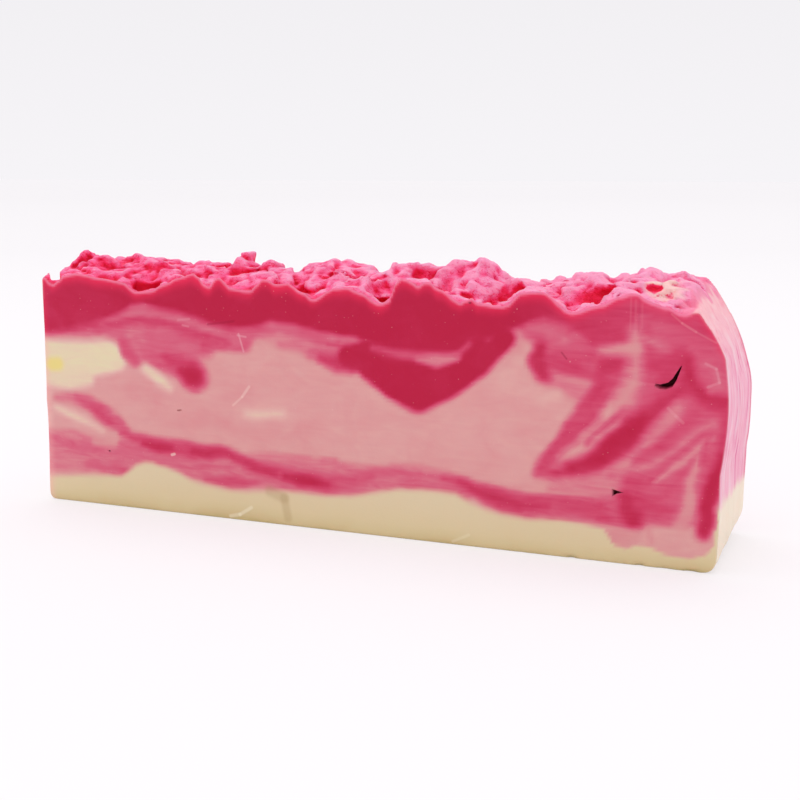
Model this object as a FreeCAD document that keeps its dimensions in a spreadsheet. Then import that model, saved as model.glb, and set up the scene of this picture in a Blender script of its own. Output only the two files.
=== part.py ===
import FreeCAD, Part
import math
import os
import random
import types

import Sketcher

# An uncut bar of hand-made soap, poured and swirled in a lined box mould and left with a torn,
# crumbled top. It is one cast piece: knife-cut front and back faces, moulded ends and bottom.
# Millimetres, +Z up, +X along the bar to its stepped right end, front face towards -Y, origin at
# the middle of the bottom face.

SIZES = {
    "length": 268.0,           # over the ends, at the bulge of the right end
    "depth": 55.0,             # between the two knife-cut faces
    "rim_height": 88.0,        # mean height of the torn rims of the cut faces
    "crown_rise": 4.5,         # how much the torn top stands above the rims along its middle
    "foot_round_right": 5.0,   # bottom corner of the right end, at the front face
    "foot_round_back": 11.0,   # the same corner at the back face
    "foot_round_left": 3.0,    # bottom corner of the left end
    "foot_inset": 1.5,         # right end below and above its bulge, inside the overall length
    "foot_height": 33.0,       # where the bulge of the right end starts
    "bulge_height": 54.0,      # where the right end stands out most
    "shoulder_height": 71.5,   # where the right end turns in to its shoulder, at the front face
    "shoulder_back": 62.5,     # the same at the back face
    "shoulder_run": 21.0,      # the shoulder's reach in from the right end
    "shoulder_rise": 25.5,     # the shoulder's height
    "shoulder_bend": 90.0,     # radius of the shoulder's gentle curve
    "left_lean": 1.4,          # how far the left end leans in over its height
    "slit_from_end": 24.1,     # crescent tear in the front face: its left tip from the right end
    "slit_height": 61.5,       # height of that tip
    "slit_reach": 8.8,         # the tear's width
    "slit_climb": 7.1,         # the tear's height
    "slit_outer_bend": 6.6,    # radius of its lower right side
    "slit_inner_bend": 10.5,   # radius of its upper left side
    "slit_depth": 3.0,
    "pit_from_end": 37.5,      # three-cornered void in the front face: its left side from the end
    "pit_height": 23.0,        # height of its lowest corner
    "pit_reach": 4.2,
    "pit_climb": 2.6,
    "pit_tip": 1.6,            # height of its right tip above its lowest corner
    "pit_depth": 2.5,
    "rim_blend": 5.0,          # how far the rims' own line carries into the torn top
    "plate_pitch": 11.5,       # spacing of the torn plates that make up the top
    "plate_step": 2.3,         # how far a plate's middle stands above or below the rest
    "plate_lean": 0.3,         # how steeply a plate may lean, as rise over run
    "crumb_pitch": 5.2,        # spacing of the smaller crumbs on the plates
    "crumb_step": 0.9,         # how far a crumb stands above or below the rest
    "facet_step": 2.2,         # spacing of the points that the torn surface goes through
    "waste_height": 30.0,      # how far the blank stands above the rims before its top is torn
    "sole_trim": 2.0,          # what is cut off below the blank, so that the bottom is flat
}

# Torn rim of the front face: percent of the length from the left end, mm above the rim height.
FRONT_RIM = (
    (0.0, -1.0), (0.9, 1.5), (2.0, -2.0), (4.6, 2.5), (6.6, 3.5), (11.0, 2.0), (14.4, 0.5),
    (16.5, -3.0), (19.1, -2.5), (21.3, 0.5), (23.7, 3.5), (26.3, 5.5), (28.5, 0.0), (30.0, 4.5),
    (32.4, -0.5), (35.1, -1.0), (37.1, 4.0), (39.3, 2.5), (40.8, 3.0), (43.1, -0.5), (44.6, -3.5),
    (47.9, 1.5), (49.7, 2.0), (51.6, 0.0), (54.3, -3.5), (55.4, -3.0), (57.2, 6.0), (58.6, 5.5),
    (59.6, 2.5), (61.0, 5.0), (62.9, 2.5), (65.9, -2.5), (66.9, 0.5), (68.0, -2.0), (71.4, -3.0),
    (74.2, 2.5), (76.5, 3.0), (80.3, -4.0), (83.8, -1.5), (86.4, 2.0), (88.3, 3.5), (90.0, 0.5),
    (92.1, -1.0), (94.1, -3.5), (96.1, -2.5), (100.0, -4.0),
)

# Torn rim of the back face, in the same terms.
BACK_RIM = (
    (0.0, -1.0), (2.5, 1.5), (6.0, 3.5), (9.5, 1.0), (12.0, 3.5), (16.0, 5.0), (19.5, 0.0),
    (23.0, 2.5), (27.0, 5.5), (31.0, 1.5), (34.5, -1.0), (38.0, 3.0), (42.0, 5.0), (47.0, 2.0),
    (50.0, 5.5), (54.0, 0.5), (58.0, 3.5), (62.0, 5.5), (66.0, -0.5), (70.0, 0.5), (74.5, 1.0),
    (78.0, -2.0), (82.0, 1.0), (86.0, 5.0), (90.0, 7.0), (94.0, 5.0), (97.0, 0.0), (100.0, -4.0),
)

# The larger torn chunks: percent along from the left end, percent across from the front face,
# radius and rise in mm. A negative rise is a hollow torn out of the top.
CHUNKS = (
    (4.0, 45.0, 10.0, 4.5), (9.5, 62.0, 12.0, 1.5), (15.5, 38.0, 9.0, 2.0),
    (19.3, 60.0, 9.0, 1.5), (25.0, 44.0, 8.0, 2.0), (28.8, 52.0, 5.5, 5.0),
    (36.5, 44.0, 8.0, -1.5), (40.4, 48.0, 10.0, 4.0), (45.0, 54.0, 11.0, 3.5),
    (55.5, 50.0, 11.0, 3.0), (63.6, 46.0, 10.5, 6.0), (74.0, 60.0, 10.0, -3.0),
    (80.5, 44.0, 9.0, 0.5), (86.0, 50.0, 11.0, 3.5), (91.5, 66.0, 11.0, 2.5),
    (16.6, 16.0, 7.0, -5.0), (29.0, 20.0, 6.0, -4.0), (43.0, 14.0, 7.0, -4.0),
    (54.5, 12.0, 7.0, -6.0), (68.5, 16.0, 8.0, -4.5), (71.0, 60.0, 8.0, -3.0),
    (81.0, 14.0, 8.0, -4.5), (94.5, 16.0, 7.0, -4.0), (34.0, 70.0, 8.0, -3.0),
)

PLATE_SEED = 7           # picks the plates' places and leans
CRUMB_SEED = 23          # picks the crumbs'
JITTER = 0.8             # how far a plate may sit off its even spacing, in spacings
CROWN_SQUARENESS = 0.7   # below 1 the crown rises soon behind the rims and is flat on top
MESH_TOLERANCE = 0.001


def fill_sheet(document):
    """Write every driving size to the spreadsheet, one aliased cell a row."""
    sheet = document.addObject("Spreadsheet::Sheet", "sizes")
    for row, (name, value) in enumerate(SIZES.items(), start=1):
        sheet.set(f"A{row}", name)
        sheet.set(f"B{row}", str(value))
        sheet.setAlias(f"B{row}", name)
    document.recompute()
    return sheet


def add_arc(sketch, start, end, radius):
    """Add the arc that runs anticlockwise from start to end."""
    chord = end - start
    to_centre = FreeCAD.Vector(-chord.y, chord.x, 0.0).normalize()
    reach = math.sqrt(radius ** 2 - (chord.Length / 2.0) ** 2)
    centre = (start + end) * 0.5 + to_centre * reach
    circle = Part.Circle(centre, FreeCAD.Vector(0.0, 0.0, 1.0), radius)
    first = math.atan2(start.y - centre.y, start.x - centre.x)
    last = math.atan2(end.y - centre.y, end.x - centre.x)
    return sketch.addGeometry(Part.ArcOfCircle(circle, first, last), False)


def draw_outline(sketch, corners, bends):
    """Draw a closed anticlockwise outline whose corners and radii follow the sheet.

    corners holds a pair of expressions for each corner, its distances along and up from the
    origin. bends gives the radius of a side by its number, as ("out", radius) or ("in", radius).
    """
    points = [FreeCAD.Vector(sketch.evalExpression(along), sketch.evalExpression(up), 0.0)
              for along, up in corners]
    sides = []
    for number, start in enumerate(points):
        end = points[(number + 1) % len(points)]
        way, radius = bends.get(number, ("straight", None))
        if way == "straight":
            side = sketch.addGeometry(Part.LineSegment(start, end), False)
            sides.append((side, 1, 2))
        elif way == "out":
            sides.append((add_arc(sketch, start, end, sketch.evalExpression(radius)), 1, 2))
        else:
            sides.append((add_arc(sketch, end, start, sketch.evalExpression(radius)), 2, 1))
        if radius is not None:
            value = sketch.evalExpression(radius)
            index = sketch.addConstraint(Sketcher.Constraint("Radius", sides[-1][0], value))
            sketch.setExpression(f"Constraints[{index}]", radius)
    for number, (side, first, _) in enumerate(sides):
        previous, _, last = sides[number - 1]
        sketch.addConstraint(Sketcher.Constraint("Coincident", previous, last, side, first))
        for kind, value, text in zip(("DistanceX", "DistanceY"), points[number], corners[number]):
            index = sketch.addConstraint(Sketcher.Constraint(kind, -1, 1, side, first, value))
            sketch.setExpression(f"Constraints[{index}]", text)


def new_sketch(body, name, plane, offset):
    """Make a sketch on one of the body's own planes, moved along its normal by an expression."""
    sketch = body.newObject("Sketcher::SketchObject", name)
    planes = {feature.Role: feature for feature in body.Origin.OriginFeatures}
    sketch.AttachmentSupport = [(planes[plane], "")]
    sketch.MapMode = "FlatFace"
    sketch.setExpression(".AttachmentOffset.Base.z", offset)
    sketch.Visibility = False
    return sketch


def add_pocket(body, name, outline, bends, depth):
    """Cut a void into the front face, as deep as the expression says."""
    sketch = new_sketch(body, f"{name}_outline", "XZ_Plane", "sizes.depth / 2")
    draw_outline(sketch, outline, bends)
    pocket = body.newObject("PartDesign::Pocket", name)
    pocket.Profile = sketch
    pocket.Type = "Length"
    pocket.setExpression("Length", depth)
    return pocket


def bulge_bend(climb):
    """Return the radius of an arc that stands upright at the bulge and gives way by the inset."""
    return f"(({climb}) ^ 2 + sizes.foot_inset ^ 2) / (2 * sizes.foot_inset)"


def draw_end_profile(body, name, offset, foot_round, shoulder):
    """Draw the bar's outline as a cut face shows it, with that face's own foot and shoulder."""
    sketch = new_sketch(body, name, "XZ_Plane", offset)
    left_foot = "-sizes.length / 2 + sizes.foot_round_left"
    right_foot = "sizes.length / 2 - sizes.foot_inset"
    shoulder_end = "sizes.length / 2 - sizes.shoulder_run"
    blank_top = "sizes.rim_height + sizes.waste_height"
    corners = (
        (left_foot, "0"),
        (left_foot, "-sizes.sole_trim"),
        (f"{right_foot} - {foot_round}", "-sizes.sole_trim"),
        (f"{right_foot} - {foot_round}", "0"),
        (right_foot, foot_round),
        (right_foot, "sizes.foot_height"),
        ("sizes.length / 2", "sizes.bulge_height"),
        (right_foot, shoulder),
        (shoulder_end, "sizes.shoulder_height + sizes.shoulder_rise"),
        (shoulder_end, blank_top),
        ("-sizes.length / 2 + sizes.left_lean", blank_top),
        ("-sizes.length / 2", "sizes.foot_round_left"),
    )
    bends = {
        3: ("out", foot_round),
        5: ("out", bulge_bend("sizes.bulge_height - sizes.foot_height")),
        6: ("out", bulge_bend(f"{shoulder} - sizes.bulge_height")),
        7: ("out", "sizes.shoulder_bend"),
        11: ("out", "sizes.foot_round_left"),
    }
    draw_outline(sketch, corners, bends)
    return sketch


def trim_sole(body):
    """Cut off all that lies below the bottom face."""
    sketch = new_sketch(body, "sole_outline", "XY_Plane", "0")
    reach_along = "(sizes.length / 2 + sizes.sole_trim)"
    reach_across = "(sizes.depth / 2 + sizes.sole_trim)"
    corners = (
        (f"-{reach_along}", f"-{reach_across}"), (reach_along, f"-{reach_across}"),
        (reach_along, reach_across), (f"-{reach_along}", reach_across),
    )
    draw_outline(sketch, corners, {})
    sole = body.newObject("PartDesign::Pocket", "sole")
    sole.Profile = sketch
    sole.Type = "Length"
    sole.setExpression("Length", "2 * sizes.sole_trim")


def build_blank(document):
    """Build the cast blank, higher than the finished bar, with the voids of its front face."""
    body = document.addObject("PartDesign::Body", "blank")
    body.Label = "cast_blank"
    front = draw_end_profile(body, "front_profile", "sizes.depth / 2",
                             "sizes.foot_round_right", "sizes.shoulder_height")
    back = draw_end_profile(body, "back_profile", "-sizes.depth / 2",
                            "sizes.foot_round_back", "sizes.shoulder_back")
    loft = body.newObject("PartDesign::AdditiveLoft", "between_cuts")
    loft.Profile = front
    loft.Sections = [back]
    loft.Ruled = True
    trim_sole(body)

    slit_left = "sizes.length / 2 - sizes.slit_from_end"
    slit = (
        (slit_left, "sizes.slit_height"),
        (f"{slit_left} + sizes.slit_reach", "sizes.slit_height + sizes.slit_climb"),
    )
    add_pocket(body, "slit", slit,
               {0: ("out", "sizes.slit_outer_bend"), 1: ("in", "sizes.slit_inner_bend")},
               "sizes.slit_depth")
    pit_left = "sizes.length / 2 - sizes.pit_from_end"
    pit = (
        (pit_left, "sizes.pit_height"),
        (f"{pit_left} + sizes.pit_reach", "sizes.pit_height + sizes.pit_tip"),
        (pit_left, "sizes.pit_height + sizes.pit_climb"),
    )
    add_pocket(body, "pit", pit, {}, "sizes.pit_depth")
    document.recompute()
    return body


def between_stations(stations, percent):
    """Return the height of a rim line, eased from one of its stations to the next."""
    if percent <= stations[0][0]:
        return stations[0][1]
    for (start, low), (end, high) in zip(stations, stations[1:]):
        if percent <= end:
            ease = (1.0 - math.cos(math.pi * (percent - start) / (end - start))) / 2.0
            return low + (high - low) * ease
    return stations[-1][1]


def dome(distance, radius):
    """Return a rounded lump, 1 over its middle and 0 from its radius outwards."""
    share = min(distance / radius, 1.0)
    return math.sqrt(1.0 - share ** 2) if share < 1.0 else 0.0


def scatter(sizes, pitch, step, lean, seed):
    """Lay plates out unevenly over the top, each with its own height and lean.

    Returns a list of (along, across, rise, lean along, lean across), from the left front corner.
    """
    chance = random.Random(seed)
    columns, rows = round(sizes.length / pitch), round(sizes.depth / pitch)
    plates = []
    for column in range(columns):
        for row in range(rows):
            along = (column + 0.5 + JITTER * (chance.random() - 0.5)) * sizes.length / columns
            across = (row + 0.5 + JITTER * (chance.random() - 0.5)) * sizes.depth / rows
            rise = chance.uniform(-step, step)
            plates.append((along, across, rise, chance.uniform(-lean, lean),
                           chance.uniform(-lean, lean)))
    return plates


def plate_height(plates, along, across):
    """Return the height of the plate whose middle is nearest to a place."""
    x, y, rise, lean_along, lean_across = min(
        plates, key=lambda plate: (plate[0] - along) ** 2 + (plate[1] - across) ** 2)
    return rise + lean_along * (along - x) + lean_across * (across - y)


def torn_height(sizes, plates, crumbs, along, across):
    """Return the height of the torn top at a place from the left front corner."""
    share = min(max(across / sizes.depth, 0.0), 1.0)
    height = sizes.rim_height + sizes.crown_rise * math.sin(math.pi * share) ** CROWN_SQUARENESS
    height += plate_height(plates, along, across) + plate_height(crumbs, along, across)
    for x_percent, y_percent, radius, rise in CHUNKS:
        away = math.hypot(along - sizes.length * x_percent / 100.0,
                          across - sizes.depth * y_percent / 100.0)
        height += rise * dome(away, radius)
    percent = 100.0 * along / sizes.length
    for rim, inside in ((FRONT_RIM, across), (BACK_RIM, sizes.depth - across)):
        pull = 1.0 - min(max(inside / sizes.rim_blend, 0.0), 1.0)
        weight = pull * pull * (3.0 - 2.0 * pull)
        height += weight * (sizes.rim_height + between_stations(rim, percent) - height)
    return height


class FacetGrid:
    """Points over the whole top in columns along it, overlapping its edges, and their facets."""

    def __init__(self, sizes):
        """Work out the torn height at each point."""
        overlap = 2.0 * sizes.facet_step
        self.columns = math.ceil((sizes.length + 2.0 * overlap) / sizes.facet_step)
        self.rows = math.ceil((sizes.depth + 2.0 * overlap) / sizes.facet_step)
        plates = scatter(sizes, sizes.plate_pitch, sizes.plate_step, sizes.plate_lean, PLATE_SEED)
        crumbs = scatter(sizes, sizes.crumb_pitch, sizes.crumb_step, 0.0, CRUMB_SEED)
        self.points = []
        for column in range(self.columns + 1):
            along = column * (sizes.length + 2.0 * overlap) / self.columns - overlap
            for row in range(self.rows + 1):
                across = row * (sizes.depth + 2.0 * overlap) / self.rows - overlap
                height = torn_height(sizes, plates, crumbs, along, across)
                self.points.append(FreeCAD.Vector(along - sizes.length / 2.0,
                                                  across - sizes.depth / 2.0, height))

    def number(self, column, row):
        """Return a point's number in the list."""
        return column * (self.rows + 1) + row

    def facets(self):
        """Return two triangles a cell that face down, folded along the shorter diagonal."""
        triangles = []
        for column in range(self.columns):
            for row in range(self.rows):
                near, right = self.number(column, row), self.number(column + 1, row)
                far, left = self.number(column + 1, row + 1), self.number(column, row + 1)
                rising = self.points[near].distanceToPoint(self.points[far])
                falling = self.points[right].distanceToPoint(self.points[left])
                if rising <= falling:
                    triangles += [(near, far, right), (near, left, far)]
                else:
                    triangles += [(near, left, right), (right, left, far)]
        return triangles

    def ring(self):
        """Return the numbers of the points round the border, anticlockwise from above."""
        last_column, last_row = self.columns, self.rows
        front = [self.number(column, 0) for column in range(last_column)]
        right = [self.number(last_column, row) for row in range(last_row)]
        back = [self.number(column, last_row) for column in range(last_column, 0, -1)]
        left = [self.number(0, row) for row in range(last_row, 0, -1)]
        return front + right + back + left


def build_torn_top(document, sheet):
    """Build the waste above the torn top, whose lower face is the torn surface itself."""
    sizes = types.SimpleNamespace(**{name: getattr(sheet, name) for name in SIZES})
    grid = FacetGrid(sizes)
    points, triangles, ring = grid.points, grid.facets(), grid.ring()
    lid = sizes.rim_height + sizes.waste_height + sizes.facet_step
    first_above, hub = len(points), len(points) + len(ring)
    points += [FreeCAD.Vector(points[number].x, points[number].y, lid) for number in ring]
    points.append(FreeCAD.Vector(0.0, 0.0, lid))
    for place, low in enumerate(ring):
        next_place = (place + 1) % len(ring)
        high, next_high = first_above + place, first_above + next_place
        triangles += [(low, ring[next_place], next_high), (low, next_high, high),
                      (high, next_high, hub)]
    skin = Part.Shape()
    skin.makeShapeFromMesh((points, triangles), MESH_TOLERANCE, False)
    waste = document.addObject("Part::Feature", "waste")
    waste.Label = "waste_above_tear"
    waste.Shape = Part.Solid(Part.Shell(skin.Faces))
    return waste


def check(document):
    """Stop if any object failed or if the bar isn't one valid solid."""
    for item in document.Objects:
        if "Invalid" in item.State or "Error" in item.State:
            raise RuntimeError(f"{item.Label} failed: {item.State}")
    bar = document.getObject("bar")
    if bar.Shape.isNull() or not bar.Shape.isValid() or len(bar.Shape.Solids) != 1:
        raise RuntimeError("the bar is not one valid solid")


def main():
    """Build the bar and write its shape."""
    document = FreeCAD.newDocument("soap")
    sheet = fill_sheet(document)
    blank = build_blank(document)
    waste = build_torn_top(document, sheet)
    bar = document.addObject("Part::Cut", "bar")
    bar.Label = "soap_bar"
    bar.Base = blank
    bar.Tool = waste
    bar.Refine = False
    document.recompute()
    check(document)
    os.makedirs("parts", exist_ok=True)
    bar.Shape.exportStep(f"parts/{bar.Label}.step")
    box = bar.Shape.BoundBox
    print(f"{bar.Label}: {box.XLength:.2f} x {box.YLength:.2f} x {box.ZLength:.2f} mm, "
          f"{bar.Shape.Volume / 1000.0:.1f} cm3")


main()
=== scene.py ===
"""Looks of a loaf-size bar of hand-made soap.

The bar is one casting of swirled crimson, pink and cream pours. Its long faces are cut with a
knife, its ends and bottom are moulded, and its top is torn into chunks and crumbs. Lengths are in
millimetres until a mesh is made, with +X along the bar, the front face towards -Y and +Z up.
"""

from __future__ import annotations

import logging
import math
import random
from dataclasses import dataclass, field
from enum import Enum

import bpy
import numpy as np
from mathutils import Matrix, Vector
from mathutils.bvhtree import BVHTree

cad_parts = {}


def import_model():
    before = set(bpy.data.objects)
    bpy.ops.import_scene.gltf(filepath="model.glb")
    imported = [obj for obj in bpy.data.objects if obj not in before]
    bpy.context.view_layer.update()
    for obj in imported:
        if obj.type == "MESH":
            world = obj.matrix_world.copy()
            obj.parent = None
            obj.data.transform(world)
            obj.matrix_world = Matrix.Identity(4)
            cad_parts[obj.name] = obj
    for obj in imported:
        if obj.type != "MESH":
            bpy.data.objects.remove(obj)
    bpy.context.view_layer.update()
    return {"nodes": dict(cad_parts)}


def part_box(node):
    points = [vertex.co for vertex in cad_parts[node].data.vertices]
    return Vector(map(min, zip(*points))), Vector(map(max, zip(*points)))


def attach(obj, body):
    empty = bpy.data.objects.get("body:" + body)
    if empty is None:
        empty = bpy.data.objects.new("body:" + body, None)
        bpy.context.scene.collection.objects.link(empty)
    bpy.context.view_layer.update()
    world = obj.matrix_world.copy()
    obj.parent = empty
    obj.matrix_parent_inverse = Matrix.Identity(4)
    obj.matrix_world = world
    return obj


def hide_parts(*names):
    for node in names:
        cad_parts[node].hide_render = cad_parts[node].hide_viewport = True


LOG = logging.getLogger("soap")
MM = 0.001
NODE = "soap_bar"
BODY = "root"

Array = np.ndarray


def smoothstep(low: float, high: float, value: Array) -> Array:
    """Return 0 below low, 1 above high and an eased share between them."""
    share = np.clip((value - low) / (high - low), 0.0, 1.0)
    return share * share * (3.0 - 2.0 * share)


def smooth_max(first: Array, second: Array, radius: float) -> Array:
    """Return the larger of two fields, rounded over where they cross.

    Args:
        first: One distance field.
        second: The other distance field.
        radius: The size of the rounding in the fields' units.

    Returns:
        The blended field.
    """
    near = np.clip(radius - np.abs(first - second), 0.0, None)
    return np.maximum(first, second) + near * near / (4.0 * radius)


def srgb(code: str) -> tuple[float, float, float, float]:
    """Turn a six-digit sRGB code into a linear colour with full alpha."""
    values = [int(code[start:start + 2], 16) / 255.0 for start in (0, 2, 4)]
    linear = [v / 12.92 if v <= 0.04045 else ((v + 0.055) / 1.055) ** 2.4 for v in values]
    return linear[0], linear[1], linear[2], 1.0


class ValueNoise:
    """Smooth random values in space, the same on every run."""

    SIZE = 64

    def __init__(self, seed: int) -> None:
        """Fill the lattice from a seed."""
        self.lattice = np.random.default_rng(seed).uniform(-1.0, 1.0, (self.SIZE,) * 3)

    def at(self, x: Array, y: Array, z: Array) -> Array:
        """Return a value from -1 to 1 at each place, which changes over about one unit.

        Args:
            x: First coordinates.
            y: Second coordinates.
            z: Third coordinates.

        Returns:
            The noise values.
        """
        places = [np.asarray(axis, float) for axis in (x, y, z)]
        floors = [np.floor(axis) for axis in places]
        shares = [axis - low for axis, low in zip(places, floors)]
        shares = [share * share * (3.0 - 2.0 * share) for share in shares]
        lows = [low.astype(np.int64) for low in floors]
        total = 0.0
        for corner in range(8):
            steps = [(corner >> axis) & 1 for axis in range(3)]
            index = tuple((low + step) % self.SIZE for low, step in zip(lows, steps))
            weight = 1.0
            for share, step in zip(shares, steps):
                weight = weight * (share if step else 1.0 - share)
            total = total + weight * self.lattice[index]
        return total


class FrameWalls:
    """Heights and end walls of the plain solid, found by rays."""

    FAR = 0.4

    def __init__(self, node: bpy.types.Object) -> None:
        """Build the ray tree.

        Args:
            node: The solid of the frame.
        """
        mesh = node.data
        mesh.calc_loop_triangles()
        points = [vertex.co.copy() for vertex in mesh.vertices]
        faces = [tuple(triangle.vertices) for triangle in mesh.loop_triangles]
        self.tree = BVHTree.FromPolygons(points, faces)
        low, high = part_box(NODE)
        self.low = np.array(low) / MM
        self.high = np.array(high) / MM

    def height(self, x: float, y: float) -> float:
        """Return the height of the torn top at a place."""
        hit = self.tree.ray_cast(Vector((x * MM, y * MM, self.FAR)), Vector((0, 0, -1)))[0]
        return hit.z / MM if hit else 0.0

    def end(self, y: float, z: float, side: int) -> float:
        """Return where an end wall stands at a depth and height, side 1 for the right end."""
        start = Vector((side * self.FAR, y * MM, z * MM))
        hit = self.tree.ray_cast(start, Vector((-side, 0, 0)))[0]
        return hit.x / MM if hit else side * self.high[0]


@dataclass
class Outline:
    """The bar's plan outline at any height, from its four upright corners."""

    walls: FrameWalls
    inset: float = 0.15
    top_known: float = 82.0
    lowest: float = 0.02
    corner: float = 0.9

    def __post_init__(self) -> None:
        """Read the four corner lines off the solid at even heights."""
        self.front = self.walls.low[1]
        self.back = self.walls.high[1]
        self.heights = np.concatenate([np.linspace(self.lowest, 12.0, 40),
                                       np.linspace(12.5, self.top_known, 90)])
        self.lines = {}
        for side in (-1, 1):
            for name, y in (("front", self.front + self.inset), ("back", self.back - self.inset)):
                self.lines[side, name] = np.array(
                    [self.walls.end(y, z, side) for z in self.heights])

    def end(self, side: int, y: Array, z: Array) -> Array:
        """Return where an end wall stands, ruled straight from its front line to its back line.

        Args:
            side: 1 for the right end, -1 for the left end.
            y: Depths.
            z: Heights.

        Returns:
            The wall's x at each place.
        """
        share = (np.asarray(y) - self.front) / (self.back - self.front)
        values = []
        for name in ("front", "back"):
            line = self.lines[side, name]
            known = np.interp(z, self.heights, line)
            slope = (line[-1] - line[-9]) / (self.heights[-1] - self.heights[-9])
            past = np.clip(np.asarray(z) - self.top_known, 0.0, None)
            values.append(known + past * slope * (1.0 + 0.012 * past))
        return values[0] + (values[1] - values[0]) * share

    def ring(self, z: float, counts: tuple[int, int, int], lift: float) -> Array:
        """Return the outline at a height as points, anticlockwise from the front left corner.

        Args:
            z: The height.
            counts: How many points the front, each end and the back have.
            lift: How far the long sides stand in, as at a rounded lower edge.

        Returns:
            One row of x, y, z a point.
        """
        along, across, behind = counts
        front, back = self.front + lift, self.back - lift
        half = math.pi / 2.0
        points = []
        sides = (((-1, front), (1, front), along), ((1, front), (1, back), across),
                 ((1, back), (-1, back), behind), ((-1, back), (-1, front), across))
        for number, ((side_a, y_a), (side_b, y_b), count) in enumerate(sides):
            start = np.array([float(self.end(side_a, y_a, z)), y_a])
            stop = np.array([float(self.end(side_b, y_b, z)), y_b])
            way = (stop - start) / np.linalg.norm(stop - start)
            share = np.linspace(0.0, 1.0, count)[:, None]
            points.append(start + way * self.corner
                          + share * (stop - start - 2.0 * self.corner * way))
            turn_centre = stop - way * self.corner + np.array([-way[1], way[0]]) * self.corner
            first = number * half - half
            for step in (1, 2):
                angle = first + step * half / 3.0
                points.append((turn_centre + self.corner
                               * np.array([math.cos(angle), math.sin(angle)]))[None])
        plan = np.concatenate(points)
        return np.column_stack([plan, np.full(len(plan), z)])

    def travel(self, points: Array) -> Array:
        """Return how far round the outline each point lies, from the front left corner."""
        x, y = points[:, 0], points[:, 1]
        left, right = self.walls.low[0], self.walls.high[0]
        long, deep = right - left, self.back - self.front
        gaps = np.stack([np.abs(y - self.front), np.abs(x - self.end(1, y, points[:, 2])),
                         np.abs(y - self.back), np.abs(x - self.end(-1, y, points[:, 2]))])
        side = gaps.argmin(axis=0)
        runs = np.stack([x - left, long + (y - self.front), long + deep + (right - x),
                         2.0 * long + deep + (self.back - y)])
        return runs[side, np.arange(len(points))]


@dataclass
class Grid:
    """Values on an even grid of points in space."""

    origin: Array
    step: float
    values: Array

    def axes(self) -> list[Array]:
        """Return the grid's x, y and z coordinates."""
        return [self.origin[axis] + self.step * np.arange(self.values.shape[axis])
                for axis in range(3)]

    def sample(self, points: Array, values: Array) -> Array:
        """Return a field of this grid between its points.

        Args:
            points: Places, one row of x, y, z each.
            values: The field, in the grid's shape.

        Returns:
            The field's value at each place.
        """
        places = (points - self.origin) / self.step
        result = np.zeros(len(points))
        low = np.clip(np.floor(places).astype(int), 0, np.array(values.shape) - 2)
        share = np.clip(places - low, 0.0, 1.0)
        for corner in range(8):
            steps = np.array([(corner >> axis) & 1 for axis in range(3)])
            weight = np.prod(np.where(steps, share, 1.0 - share), axis=1)
            index = low + steps
            result += weight * values[index[:, 0], index[:, 1], index[:, 2]]
        return result


def skin_of(grid: Grid) -> tuple[Array, Array]:
    """Lay a skin of quads where a field changes sign, open where it leaves the grid.

    Args:
        grid: The field, below zero inside the body.

    Returns:
        The points, one row each, and the quads, with their outer side anticlockwise.
    """
    values = grid.values
    cells = tuple(np.array(values.shape) - 1)
    total = np.zeros((*cells, 3))
    count = np.zeros(cells)
    crossings = []
    for axis in range(3):
        low = np.take(values, range(values.shape[axis] - 1), axis)
        high = np.take(values, range(1, values.shape[axis]), axis)
        index = np.stack(np.nonzero((low < 0.0) != (high < 0.0)), axis=1)
        before = low[tuple(index.T)]
        after = high[tuple(index.T)]
        place = index.astype(float)
        place[:, axis] += before / (before - after)
        crossings.append((axis, index, before < 0.0))
        second, third = (axis + 1) % 3, (axis + 2) % 3
        for shift_second in (0, 1):
            for shift_third in (0, 1):
                cell = index.copy()
                cell[:, second] -= shift_second
                cell[:, third] -= shift_third
                kept = np.all((cell >= 0) & (cell < cells), axis=1)
                target = tuple(cell[kept].T)
                np.add.at(count, target, 1.0)
                np.add.at(total, target, place[kept])
    used = count > 0
    number = np.full(cells, -1)
    number[used] = np.arange(used.sum())
    points = grid.origin + grid.step * total[used] / count[used][:, None]
    quads = []
    for axis, index, inside_first in crossings:
        second, third = (axis + 1) % 3, (axis + 2) % 3
        corners = []
        for shift_second, shift_third in ((1, 1), (0, 1), (0, 0), (1, 0)):
            cell = index.copy()
            cell[:, second] -= shift_second
            cell[:, third] -= shift_third
            corners.append(cell)
        kept = np.all([np.all((cell >= 0) & (cell < cells), axis=1) for cell in corners], axis=0)
        quad = np.stack([number[tuple(cell[kept].T)] for cell in corners], axis=1)
        outward = inside_first[kept]
        quads.append(np.where(outward[:, None], quad, quad[:, ::-1]))
    return points, np.concatenate(quads)


def largest_piece(points: Array, faces: Array) -> tuple[Array, Array]:
    """Drop every loose fragment and keep the largest connected skin.

    Args:
        points: The skin's points.
        faces: The skin's quads.

    Returns:
        The points and quads of the largest piece.
    """
    label = np.arange(len(points))
    while True:
        lowest = label[faces].min(axis=1)
        new = label.copy()
        np.minimum.at(new, faces.ravel(), np.repeat(lowest, 4))
        new = new[new]
        if np.array_equal(new, label):
            break
        label = new
    main = np.bincount(label).argmax()
    keep = label == main
    renumber = np.cumsum(keep) - 1
    return points[keep], renumber[faces[keep[faces[:, 0]]]]


def border_loop(faces: Array) -> list[int]:
    """Return the point numbers round the open border of a skin, in the border's own order."""
    starts = faces.ravel()
    ends = np.roll(faces, -1, axis=1).ravel()
    edges = set(zip(starts.tolist(), ends.tolist()))
    following = {a: b for a, b in edges if (b, a) not in edges}
    first = min(following)
    loop = [first]
    while following[loop[-1]] != first:
        loop.append(following[loop[-1]])
    return loop


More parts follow.
